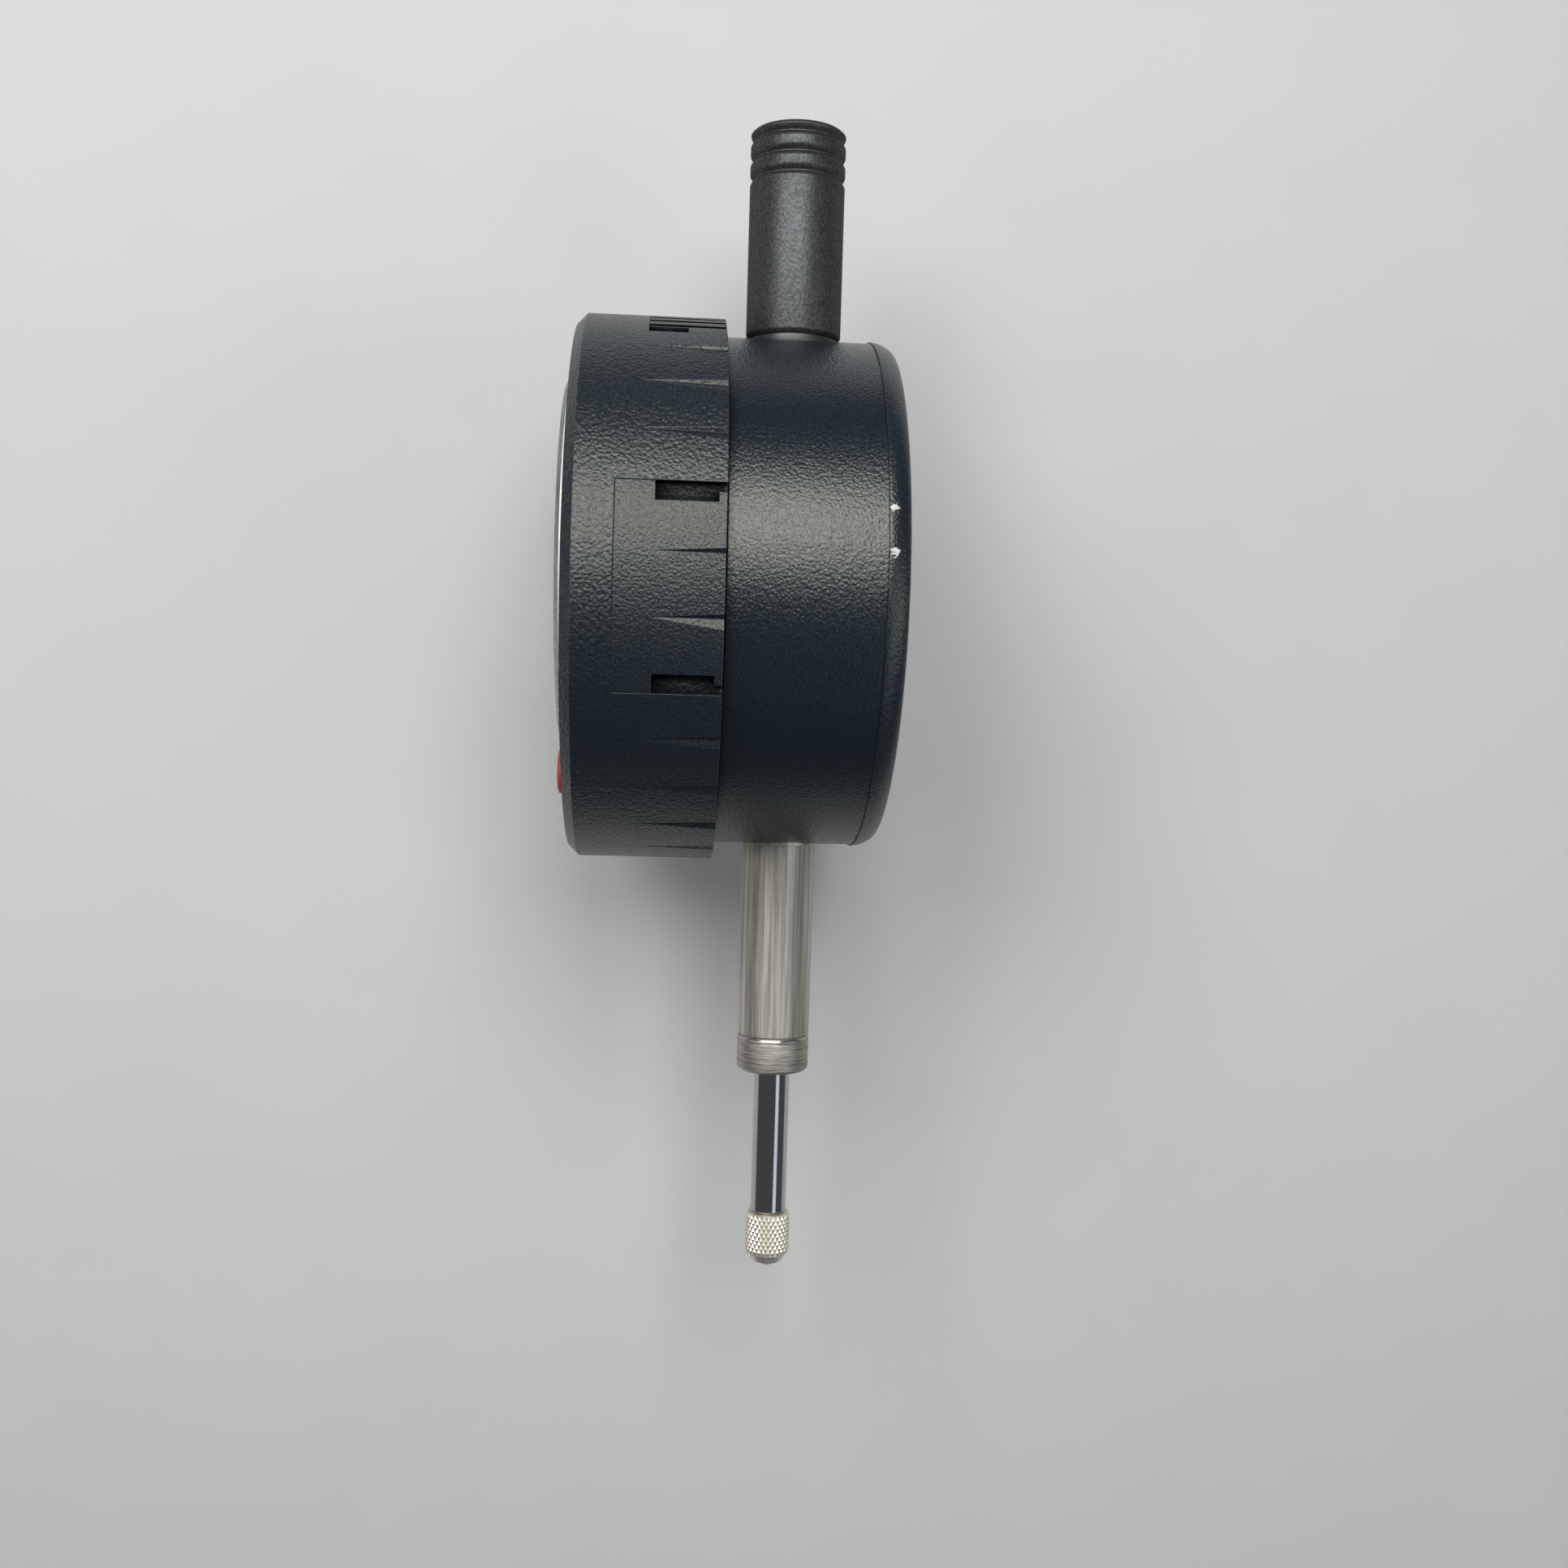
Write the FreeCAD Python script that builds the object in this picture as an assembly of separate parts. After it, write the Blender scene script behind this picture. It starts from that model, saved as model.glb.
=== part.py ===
import FreeCAD, Part

import math
import os

# A digital indicator, standing as it is used: the stem and the spindle point down.
# The origin is on the stem's axis, in the middle of the length that a clamp may hold.
# X is to the right as the display is read, Y to the back, Z up. All sizes are millimetres.

# Running, sliding and locating clearances
slide_clear = 0.03
loose_clear = 0.1
seat_gap = 0.05
stop_gap = 0.3

# Round body
body_r = 27.25
body_wall = 2.0
body_depth = 15.16
cover_overhang = 0.13
cover_thick = 2.22
cover_edge_r = 1.1
cover_edge_steps = 3
screw_inset = 4.85
screw_boss_r = 2.3
cover_screw_r = 0.9
cover_screw_head_r = 1.9
cover_screw_length = 7.0

# Stem, its end bush and the spindle
stem_r = 4.0
stem_free = 21.5
stem_bore_r = 3.0
stem_seat = 7.0
stem_seat_r = 4.5
groove_depth = 0.42
bush_flange = 4.0
bush_sleeve = 9.0
bush_edge = 0.3
boss_r = 7.0
spindle_r = 2.0
spindle_out = 16.45
travel = 12.7

# Contact point
contact_r = 2.5
contact_length = 4.75
contact_chamfer = 0.35
nose_length = 0.75
nose_r = 2.1
nose_tip_r = 1.75
ball_r = 1.5
tip_proud = 0.7
tip_seat = 1.2
contact_stud_r = 1.2
contact_stud = 5.0

# Upper bush and dust cap
top_boss_depth = 6.25
spot_face_depth = 0.55
upper_stud_r = 3.6
upper_flange_r = 4.8
upper_flange = 0.96
upper_spigot_r = 4.3
upper_spigot = 5.3
spindle_rise = 1.0
cap_r = 5.16
cap_roof = 1.5
cap_room = 1.7
cap_chamfer = 0.45
cap_groove_pitch = 2.07
cap_groove_depth = 0.4
cap_groove_width = 0.95
cap_groove_top = 1.05
cap_grooves = 3

# Hub on which the display head turns
turn_gap = 0.12
hub_r = 7.0
hub_bore_r = 4.4
hub_lip = 1.0
ring_thick = 0.7
ring_groove_depth = 0.6
ring_r = 8.6
ring_mouth = 60.0
turn_range = 330.0
stop_circle_r = 10.6
stop_pin_r = 1.0
stop_pin_seat = 1.3

# Head shell
head_lip = 1.81
head_depth = 15.3
head_rear_y = -7.6
head_floor = 2.0
head_chamfer = 1.03
bezel_rim = 2.5
ledge_width = 1.3
grip_count = 30
grip_length = 9.8
grip_depth = 0.35
grip_width = 1.5
grip_lean = 0.3
grip_over = 0.5

# Face, window and buttons
face_thick = 1.2
lens_border = 6.56
lens_up = 2.55
lens_proud = 1.15
lens_chamfer = 0.4
button_r = 2.4
button_proud = 1.1
button_edge = 0.4
button_border = 4.76
button_step = 27.4
button_flange = 0.55
button_travel = 0.8

# Display stack
lcd_side_margin = 4.0
lcd_end_margin = 10.0
lcd_thick = 1.7
lcd_up = 4.0
lcd_frame_wall = 1.5
strip_thick = 0.8
strip_width = 1.5
board_gap = 0.26
board_sides = 12
board_thick = 1.0
board_boss_r = 2.2
board_boss_inset = 3.76
board_boss_angles = (125.0, 225.0, 315.0)
mat_thick = 0.8
mat_border = 2.57
mat_above = 3.86
mat_below = 1.24
mat_foot = 2.1
mat_foot_width = 9.0
dome_r = 1.8
chip_size = 8.0
chip_thick = 1.4

# Battery tray, in the right side of the head
tray_angle = -2.4
tray_width = 19.6
tray_plate = 2.66
tray_front_y = -18.0
tray_grip_length = 8.2
finger_length = 5.9
finger_width = 1.8
finger_rear_y = -8.4
finger_step = 0.9
cell_r = 5.8
cell_thick = 5.4
cell_wall = 1.1
cradle_width = 13.9
cradle_wall = 1.15
cradle_floor = 0.8
cradle_low = 0.55
contact_window = 4.0
contact_strip = 0.25
contact_width = 3.0

# Data socket and its cover, in the top of the head
port_angle = 73.0
port_width = 14.0
port_front_y = -15.4
port_plate = 3.56
port_ribs = 7
port_rib_gap = 0.85
port_rib_depth = 0.45
nail_length = 3.9
nail_width = 1.5
nail_depth = 1.2
socket_width = 12.0
socket_deep = 5.2
socket_y = -12.0
slot_width = 9.0
slot_height = 2.6
tongue_depth = 2.6

# Encoder, guide and spring inside the body
bracket_width = 10.0
bracket_height = 10.0
bracket_back = 4.6
bracket_slit = 0.8
clamp_screw_r = 0.7
clamp_screw_y = 3.4
clamp_screw_head_r = 1.1
clamp_screw_head = 0.7
scale_width = 12.0
scale_thick = 0.8
scale_gap = 0.3
sensor_width = 22.0
sensor_right = 9.0
sensor_end_margin = 13.25
sensor_thick = 0.8
sensor_chip_width = 5.0
guide_pin_r = 1.0
guide_pin_seat = 1.5
guide_pin_up = 5.2
rail_x = 9.5
rail_thick = 1.2
rail_sink = 1.0
rail_end = 3.4
rail_back_y = 3.0
spring_x = -9.5
spring_y = 2.0
spring_coil_r = 1.2
spring_wire = 0.44
spring_turns = 6
spring_loop_r = 0.85
spring_post_room = 2.395
spring_post_r = 0.45
spring_post_end = 0.8
spring_stud_r = 0.45
spring_stud_end = 0.3
spring_stud_room = 6.395
spring_arm = 2.8
spring_arm_y = 0.7
spring_lug = 2.7
ribbon_width = 6.0
ribbon_thick = 0.15
bumper_r = 4.6
bumper_height = 1.5

# Radii and places that follow from the body's and the head's radius
body_inner_r = body_r - body_wall
screw_circle_r = body_r - screw_inset
head_r = body_r + head_lip
face_r = head_r - bezel_rim
cavity_r = face_r - ledge_width
lens_r = face_r - lens_border
lcd_width = 2 * (lens_r - lcd_side_margin)
lcd_height = 2 * (lens_r - lcd_end_margin)
button_circle_r = face_r - button_border
board_r = cavity_r - board_gap
board_boss_circle_r = cavity_r - board_boss_inset
tray_seat = head_r - tray_plate
cell_x = tray_seat - cell_r - cell_wall
port_seat = head_r - port_plate
sensor_height = 2 * (body_inner_r - sensor_end_margin)
spring_side_z = math.sqrt(body_inner_r ** 2 - spring_x ** 2)
spring_post_z = spring_post_room - spring_side_z
spring_stud_z = spring_side_z - travel - spring_stud_room

# Heights on the stem's axis
body_z = body_r + stem_free / 2
stem_end_z = -stem_free / 2
bush_end_z = stem_end_z - bush_flange
spindle_end_z = bush_end_z - spindle_out
stem_free_top_z = stem_free / 2
stem_top_z = stem_free_top_z + stem_seat
bracket_z = stem_top_z + bumper_height + stop_gap
top_boss_z = body_z + body_r - top_boss_depth
spot_z = body_z + body_r - spot_face_depth
flange_top_z = spot_z + upper_flange
upper_top_z = flange_top_z + upper_spigot
spindle_top_z = upper_top_z + spindle_rise
cap_roof_z = spindle_top_z + travel + cap_room
cap_top_z = cap_roof_z + cap_roof
scale_top_z = top_boss_z - travel - stop_gap
guide_pin_z = bracket_z + guide_pin_up

# Places from front to back
head_front_y = head_rear_y - head_depth
head_floor_y = head_rear_y - head_floor
face_back_y = head_front_y + face_thick
lcd_front_y = face_back_y + loose_clear
lcd_back_y = lcd_front_y + lcd_thick
board_front_y = lcd_back_y + strip_thick
board_back_y = board_front_y + board_thick
body_front_y = head_rear_y + turn_gap
wall_y = body_front_y + body_wall
seam_y = body_front_y + body_depth
cover_back_y = seam_y + cover_thick
ring_y = head_floor_y - slide_clear - ring_thick
hub_front_y = ring_y - seat_gap - hub_lip
lens_front_y = head_front_y - lens_proud
button_front_y = head_front_y - button_proud
mat_front_y = board_front_y - mat_thick
button_back_y = mat_front_y - button_travel - seat_gap
sensor_back_y = wall_y + sensor_thick
scale_front_y = sensor_back_y + scale_gap
scale_back_y = scale_front_y + scale_thick
cradle_back_y = head_floor_y - 3 * seat_gap
cell_back_y = cradle_back_y - cradle_floor
cell_front_y = cell_back_y - cell_thick

RIGHT = FreeCAD.Vector(1, 0, 0)
BACK = FreeCAD.Vector(0, 1, 0)
UP = FreeCAD.Vector(0, 0, 1)


def at(x, y, z):
    return FreeCAD.Vector(x, y, z)


def rod_z(r, z0, z1, x=0.0, y=0.0):
    """Round bar along Z."""
    return Part.makeCylinder(r, z1 - z0, at(x, y, z0), UP)


def rod_y(r, y0, y1, x=0.0, z=0.0):
    """Round bar along Y, with x and z counted from the body's axis."""
    return Part.makeCylinder(r, y1 - y0, at(x, y0, body_z + z), BACK)


def rod_x(r, x0, x1, y=0.0, z=0.0):
    """Round bar along X, with z counted from the origin."""
    return Part.makeCylinder(r, x1 - x0, at(x0, y, z), RIGHT)


def block(x0, x1, y0, y1, z0, z1):
    """Block with z counted from the body's axis."""
    return Part.makeBox(x1 - x0, y1 - y0, z1 - z0, at(x0, y0, body_z + z0))


def turned_z(profile):
    """Solid of revolution about the stem's axis, from (radius, z) points."""
    points = [at(r, 0, z) for r, z in profile]
    return Part.Face(Part.makePolygon(points + points[:1])).revolve(at(0, 0, 0), UP, 360)


def turned_y(profile):
    """Solid of revolution about the body's axis, from (radius, y) points."""
    points = [at(r, y, body_z) for r, y in profile]
    return Part.Face(Part.makePolygon(points + points[:1])).revolve(at(0, 0, body_z), BACK, 360)


def prism_z(profile, z0, z1):
    """Outline of (x, y) points, raised from z0 to z1, which are counted from the body's axis."""
    points = [at(x, y, body_z + z0) for x, y in profile]
    return Part.Face(Part.makePolygon(points + points[:1])).extrude(at(0, 0, z1 - z0))


def prism_y(profile, y0, y1):
    """Outline of (x, z) points, counted from the body's axis, drawn from y0 to y1."""
    points = [at(x, y0, body_z + z) for x, z in profile]
    return Part.Face(Part.makePolygon(points + points[:1])).extrude(at(0, y1 - y0, 0))


def around(shape, angle):
    """The shape turned about the body's axis, from +X towards +Z."""
    return shape.rotated(at(0, 0, body_z), BACK, -angle)


def polar(radius, angle):
    """Place (x, z) at an angle from +X towards +Z, counted from the body's axis."""
    return radius * math.cos(math.radians(angle)), radius * math.sin(math.radians(angle))


def joined(first, *others):
    return first.fuse(list(others)).removeSplitter()


def keep(name, shape):
    """Writes one piece, or a group of like pieces, to its own file."""
    shape.exportStep(os.path.join("parts", name + ".step"))


def button_places():
    """Left, middle and right button, on an arc under the window."""
    return [polar(button_circle_r, -90 + side * button_step) for side in (-1, 0, 1)]


def cover_screw_places():
    return [polar(screw_circle_r, angle) for angle in (45, 135, 225, 315)]


def grip_cutter(angle, length):
    """Wedge that cuts one grip notch: no depth at its tip, full depth at the head's rear edge."""
    rear = head_rear_y + seat_gap
    reach = (grip_depth + grip_over) / grip_depth
    root_z = body_z + grip_lean
    tip = at(head_r + seat_gap, head_rear_y - length, root_z)
    root = at(head_r - grip_depth, rear, root_z)
    upper = at(head_r + grip_over, rear, root_z + (grip_width / 2 - grip_lean) * reach)
    lower = at(head_r + grip_over, rear, root_z - (grip_width / 2 + grip_lean) * reach)
    corners = [(tip, root, upper), (tip, lower, root), (tip, upper, lower), (root, lower, upper)]
    faces = [Part.Face(Part.makePolygon([a, b, c, a])) for a, b, c in corners]
    return around(Part.Solid(Part.Shell(faces)), angle)


def grip_angles():
    """Notch angles round the head, symmetric about the middle of the battery tray."""
    step = 360 / grip_count
    return [tray_angle + step * (i + 0.5) for i in range(grip_count)]


def within(angle, middle, half_width, radius):
    """True where an angle lies inside an opening of that half width."""
    off = (angle - middle + 180) % 360 - 180
    return abs(off) <= math.degrees(math.asin(half_width / radius)) + 360 / grip_count / 4


# Round body and what is fixed to it


def body_case():
    shell = rod_y(body_r, body_front_y, seam_y).cut(rod_y(body_inner_r, wall_y, seam_y))
    low_boss = rod_z(boss_r, body_z - body_r, stem_top_z)
    top_boss = rod_z(boss_r, top_boss_z, body_z + body_r)
    bosses = [boss.common(rod_y(body_r, body_front_y, seam_y)) for boss in (low_boss, top_boss)]
    bosses += [rod_y(screw_boss_r, wall_y, seam_y, x, z) for x, z in cover_screw_places()]
    case = joined(shell, rod_y(hub_r, hub_front_y, wall_y), *bosses)
    groove = rod_y(hub_r + loose_clear, ring_y - seat_gap, head_floor_y + seat_gap)
    groove = groove.cut(rod_y(hub_r - ring_groove_depth, ring_y - seat_gap, head_floor_y + seat_gap))
    depth = cover_screw_length - cover_thick
    holes = [
        rod_y(hub_bore_r, hub_front_y, wall_y),
        groove,
        rod_z(stem_seat_r, stem_free_top_z, stem_top_z),
        rod_z(upper_stud_r, top_boss_z, body_z + body_r),
        rod_z(upper_flange_r + seat_gap, spot_z, body_z + body_r),
        rod_y(spring_post_r, wall_y - rail_sink, wall_y, spring_x, spring_post_z),
        rail_plate(),
    ]
    holes += [rod_y(cover_screw_r, seam_y - depth, seam_y, x, z) for x, z in cover_screw_places()]
    return case.cut(holes)


def back_cover():
    """Disc with a rounded edge, drawn in short steps, and four countersunk holes."""
    edge = []
    for i in range(cover_edge_steps + 1):
        angle = math.radians(90 * i / cover_edge_steps)
        inset = cover_edge_r * (1 - math.cos(angle))
        edge.append((body_r + cover_overhang - inset, cover_back_y - cover_edge_r * (1 - math.sin(angle))))
    cover = turned_y([(0, seam_y), (body_r + cover_overhang, seam_y)] + edge + [(0, cover_back_y)])
    holes = [rod_y(cover_screw_r + loose_clear, seam_y, cover_back_y, x, z) for x, z in cover_screw_places()]
    return cover.cut(holes + [screw_cone(x, z, 0.0) for x, z in cover_screw_places()])


def screw_cone(x, z, inset):
    """Countersink in the cover's back, or the head that lies in it."""
    deep = cover_screw_head_r - cover_screw_r
    low = cover_back_y - deep
    return Part.makeCone(cover_screw_r, cover_screw_head_r - inset, deep - inset, at(x, low, body_z + z), BACK)


def cover_screw(x, z):
    head_y = cover_back_y - cover_screw_head_r + cover_screw_r
    shank = rod_y(cover_screw_r, cover_back_y - cover_screw_length + seat_gap, head_y, x, z)
    return joined(shank, screw_cone(x, z, seat_gap))


def stem():
    return turned_z([
        (stem_bore_r, stem_end_z),
        (stem_r - groove_depth, stem_end_z),
        (stem_r, stem_end_z + groove_depth),
        (stem_r, stem_free_top_z),
        (stem_seat_r, stem_free_top_z),
        (stem_seat_r, stem_top_z),
        (stem_bore_r, stem_top_z),
    ])


def lower_bush():
    bore_r = spindle_r + slide_clear
    return turned_z([
        (bore_r, bush_end_z),
        (stem_r - bush_edge, bush_end_z),
        (stem_r, bush_end_z + bush_edge),
        (stem_r, stem_end_z - groove_depth),
        (stem_r - groove_depth, stem_end_z),
        (stem_bore_r, stem_end_z),
        (stem_bore_r, stem_end_z + bush_sleeve),
        (bore_r, stem_end_z + bush_sleeve),
    ])


def upper_bush():
    bore_r = spindle_r + slide_clear
    return turned_z([
        (bore_r, top_boss_z),
        (upper_stud_r, top_boss_z),
        (upper_stud_r, spot_z),
        (upper_flange_r, spot_z),
        (upper_flange_r, flange_top_z),
        (upper_spigot_r, flange_top_z),
        (upper_spigot_r, upper_top_z),
        (bore_r, upper_top_z),
    ])


def dust_cap():
    cap = turned_z([
        (upper_spigot_r, flange_top_z),
        (upper_flange_r, flange_top_z),
        (cap_r, flange_top_z + cap_chamfer),
        (cap_r, cap_top_z - cap_chamfer),
        (cap_r - cap_chamfer, cap_top_z),
        (0, cap_top_z),
        (0, cap_roof_z),
        (upper_spigot_r, cap_roof_z),
    ])
    half = cap_groove_width
    for i in range(cap_grooves):
        z = cap_top_z - cap_groove_top - i * cap_groove_pitch
        outer_r = cap_r + cap_groove_depth
        cap = cap.cut(turned_z([(outer_r, z - half), (outer_r, z + half), (cap_r - cap_groove_depth, z)]))
    return cap


def bumper():
    low = stem_top_z
    return rod_z(bumper_r, low, low + bumper_height).cut(rod_z(spindle_r + stop_gap, low, low + bumper_height))


def retaining_ring():
    """Open ring in the groove of the hub, with a tab that the head's pin meets at both ends of its turn."""
    back_y = ring_y + ring_thick
    clear = stop_pin_r + loose_clear
    half = stop_circle_r * math.sin(math.radians(180 - turn_range / 2)) - clear
    reach = stop_circle_r + stop_pin_r
    tab = block(-half, half, ring_y, back_y, 0, reach)
    mouth = [polar(2 * ring_r, -90 + side * ring_mouth / 2) for side in (-1, 1)]
    cuts = [
        rod_y(hub_r - ring_groove_depth + slide_clear, ring_y, back_y),
        prism_y([(0, 0)] + mouth, ring_y, back_y),
    ]
    return joined(rod_y(ring_r, ring_y, back_y), tab).cut(cuts)


# Spindle and what it carries


def spindle():
    rod = rod_z(spindle_r, spindle_end_z, spindle_top_z)
    return rod.cut(rod_z(contact_stud_r, spindle_end_z, spindle_end_z + contact_stud + stop_gap))


def tip_stub_r():
    """Radius of the round tip where it leaves the nose."""
    return math.sqrt(ball_r ** 2 - (ball_r - tip_proud) ** 2)


def contact_point():
    low = spindle_end_z - contact_length
    point = turned_z([
        (0, low - nose_length),
        (nose_tip_r, low - nose_length),
        (nose_r, low),
        (contact_r, low + contact_chamfer),
        (contact_r, spindle_end_z - contact_chamfer),
        (contact_r - contact_chamfer, spindle_end_z),
        (contact_stud_r, spindle_end_z),
        (contact_stud_r, spindle_end_z + contact_stud),
        (0, spindle_end_z + contact_stud),
    ])
    return point.cut(rod_z(tip_stub_r(), low - nose_length, low - nose_length + tip_seat))


def contact_tip():
    """Hard tip: a ball's end on a short stub, let into the nose."""
    face_z = spindle_end_z - contact_length - nose_length
    ball = Part.makeSphere(ball_r, at(0, 0, face_z - tip_proud + ball_r))
    dome = ball.common(rod_z(ball_r, face_z - tip_proud, face_z))
    return joined(dome, rod_z(tip_stub_r(), face_z, face_z + tip_seat))


def spindle_bracket():
    """Split clamp with an arm at its left, which holds the stud of the return spring."""
    low = bracket_z - body_z
    half = bracket_width / 2
    lug_y = spring_y + spring_coil_r + spring_wire / 2 + loose_clear
    lug_low = spring_stud_z - spring_lug / 2
    lug_high = spring_stud_z + spring_lug / 2
    clamp = block(-half, half, scale_back_y, bracket_back, low, low + bracket_height)
    arm = block(-half - spring_arm, -half, spring_arm_y, bracket_back, low, lug_high)
    lug = block(spring_x - spring_lug / 2, -half, lug_y, bracket_back, lug_low, lug_high)
    stud = rod_y(spring_stud_r, spring_y - spring_wire / 2 - spring_stud_end, lug_y, spring_x, spring_stud_z)
    bracket = joined(clamp, arm, lug, stud)
    cuts = [
        rod_z(spindle_r, bracket_z, bracket_z + bracket_height),
        block(-bracket_slit / 2, bracket_slit / 2, 0, bracket_back, low, low + bracket_height),
        rod_x(guide_pin_r, half - guide_pin_seat, half, 0, guide_pin_z),
    ]
    cuts += [rod_x(clamp_screw_r, -half, half, clamp_screw_y, z) for z in clamp_screw_heights()]
    return bracket.cut(cuts)


def clamp_screw_heights():
    return [bracket_z + bracket_height * share for share in (0.25, 0.75)]


def bracket_screws():
    half = bracket_width / 2
    screws = []
    for z in clamp_screw_heights():
        shank = rod_x(clamp_screw_r, -half, half, clamp_screw_y, z)
        screws.append(joined(shank, rod_x(clamp_screw_head_r, half, half + clamp_screw_head, clamp_screw_y, z)))
    return Part.makeCompound(screws)


def scale_strip():
    low = bracket_z - body_z
    return block(-scale_width / 2, scale_width / 2, scale_front_y, scale_back_y, low, scale_top_z - body_z)


def guide_pin():
    end = rail_x + rail_thick + stop_gap
    return rod_x(guide_pin_r, bracket_width / 2 - guide_pin_seat, end, 0, guide_pin_z)


# Encoder board, guide rail and return spring, fixed in the body


def sensor_board():
    half = sensor_height / 2
    return block(sensor_right - sensor_width, sensor_right, wall_y, sensor_back_y, -half, half)


def sensor_chip():
    right = -scale_width / 2 - stop_gap
    half = sensor_chip_width / 2
    left = right - sensor_chip_width
    return block(left, right, sensor_back_y, sensor_back_y + scale_thick, -half, half)


def rail_span():
    """Lower and upper end of the guide slot, and of the rail."""
    slot_low = guide_pin_z - guide_pin_r - stop_gap / 2 - body_z
    slot_high = guide_pin_z + travel + guide_pin_r + stop_gap / 2 - body_z
    return slot_low, slot_high, slot_low - rail_end, slot_high + rail_end


def rail_plate():
    """Plate of the rail, whose front edge is let into the body's front wall."""
    low, high = rail_span()[2:]
    return block(rail_x, rail_x + rail_thick, wall_y - rail_sink, rail_back_y, low, high)


def guide_rail():
    slot_low, slot_high = rail_span()[:2]
    wide = guide_pin_r + 2 * slide_clear
    return rail_plate().cut(block(rail_x, rail_x + rail_thick, -wide, wide, slot_low, slot_high))


def spring_post():
    """Pin in the body's front wall, for the lower loop of the spring."""
    return rod_y(spring_post_r, wall_y - rail_sink, spring_y + spring_post_end, spring_x, spring_post_z)


def spring_loop(z):
    """Round end loop of the spring, about an axis along Y."""
    half = spring_wire / 2
    ring = rod_y(spring_loop_r + half, spring_y - half, spring_y + half, spring_x, z)
    return ring.cut(rod_y(spring_loop_r - half, spring_y - half, spring_y + half, spring_x, z))


def return_spring():
    """Tension spring of square wire: a coil with a round loop at each end, drawn tight on its posts."""
    half = spring_wire / 2
    low_z = spring_post_z + spring_loop_r - half - spring_post_r - slide_clear
    high_z = spring_stud_z - spring_loop_r + half + spring_stud_r + slide_clear
    start = low_z + spring_loop_r
    end = high_z - spring_loop_r
    helix = Part.makeHelix((end - start) / spring_turns, end - start, spring_coil_r)
    corners = [(-half, -half), (half, -half), (half, half), (-half, half)]
    points = [at(spring_coil_r + x, 0, z) for x, z in corners]
    section = Part.makePolygon(points + points[:1])
    coil = Part.Wire(helix).makePipeShell([section], True, True).translated(at(spring_x, spring_y, body_z + start))
    arms = [block(spring_x, spring_x + spring_coil_r + half, spring_y - half, spring_y + half, z - half, z + half)
            for z in (start, end)]
    return coil.fuse([spring_loop(low_z), spring_loop(high_z)] + arms)


def ribbon_cable():
    half = ribbon_width / 2
    return block(-half, half, board_back_y, wall_y, -ribbon_thick / 2, ribbon_thick / 2)


# Display head


def tray_block(grow, y0, y1):
    """Space of the tray's plate, grown by a clearance."""
    half = tray_width / 2 + grow
    return around(block(tray_seat - grow, head_r + 2, y0, y1, -half, half), tray_angle)


def port_block(grow, low, y0, y1):
    """Space of the port cover's plate, grown by a clearance."""
    half = port_width / 2 + grow
    return around(block(low, head_r + 2, y0, y1, -half, half), port_angle)


def head_shell():
    bore_r = hub_r + 2 * slide_clear
    shell = turned_y([
        (bore_r, head_rear_y),
        (head_r, head_rear_y),
        (head_r, head_front_y + head_chamfer),
        (head_r - head_chamfer, head_front_y),
        (face_r, head_front_y),
        (face_r, face_back_y),
        (cavity_r, face_back_y),
        (cavity_r, head_floor_y),
        (bore_r, head_floor_y),
    ])
    bosses = [polar(board_boss_circle_r, angle) for angle in board_boss_angles]
    shell = joined(shell, *[rod_y(board_boss_r, board_back_y, head_floor_y, x, z) for x, z in bosses])
    tunnel = cradle_width / 2 + loose_clear
    window = socket_width / 2 + loose_clear
    stop_x, stop_z = polar(stop_circle_r, -90)
    bay = block(cell_x, head_r, cell_front_y - stop_gap, head_floor_y, -tunnel, tunnel)
    socket_room = block(port_seat - socket_deep, port_seat, board_back_y - seat_gap, head_floor_y, -window, window)
    cuts = [
        tray_block(seat_gap, tray_front_y - seat_gap, head_rear_y),
        around(bay, tray_angle),
        port_block(seat_gap, port_seat - seat_gap, port_front_y - seat_gap, head_rear_y),
        around(socket_room, port_angle),
        rod_y(stop_pin_r, head_floor_y, head_floor_y + stop_pin_seat, stop_x, stop_z),
    ]
    for angle in grip_angles():
        in_tray = within(angle, tray_angle, tray_width / 2, head_r)
        in_port = within(angle, port_angle, port_width / 2, head_r)
        if not in_tray and not in_port:
            cuts.append(grip_cutter(angle, grip_length))
    return shell.cut(cuts)


def face_plate():
    plate = rod_y(face_r - seat_gap, head_front_y, face_back_y)
    holes = [rod_y(lens_r + seat_gap, head_front_y, face_back_y, 0, lens_up)]
    holes += [rod_y(button_r + loose_clear, head_front_y, face_back_y, x, z) for x, z in button_places()]
    return plate.cut(holes)


def lens():
    window = turned_y([
        (0, lens_front_y),
        (lens_r - lens_chamfer, lens_front_y),
        (lens_r, lens_front_y + lens_chamfer),
        (lens_r, face_back_y),
        (0, face_back_y),
    ])
    return window.translated(at(0, 0, lens_up))


def button(x, z):
    """Push button: cap with a bevelled edge, and a flange behind the face."""
    flange_y = face_back_y + seat_gap
    cap = turned_y([
        (0, button_front_y),
        (button_r - button_edge, button_front_y),
        (button_r, button_front_y + button_edge),
        (button_r, flange_y),
        (button_r + button_flange, flange_y),
        (button_r + button_flange, button_back_y),
        (0, button_back_y),
    ])
    return cap.translated(at(x, 0, z))


def key_mat():
    """Silicone mat on the display board, with a dome under each button."""
    right_x, right_z = button_places()[2]
    half = right_x + mat_border
    foot = mat_foot_width / 2
    top = right_z + mat_above
    side = right_z - mat_below
    low = -button_circle_r - mat_foot
    outline = [(-half, top), (half, top), (half, side), (foot, low), (-foot, low), (-half, side)]
    mat = prism_y(outline, mat_front_y, board_front_y)
    return joined(mat, *[rod_y(dome_r, button_back_y, mat_front_y, x, z) for x, z in button_places()])


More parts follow.
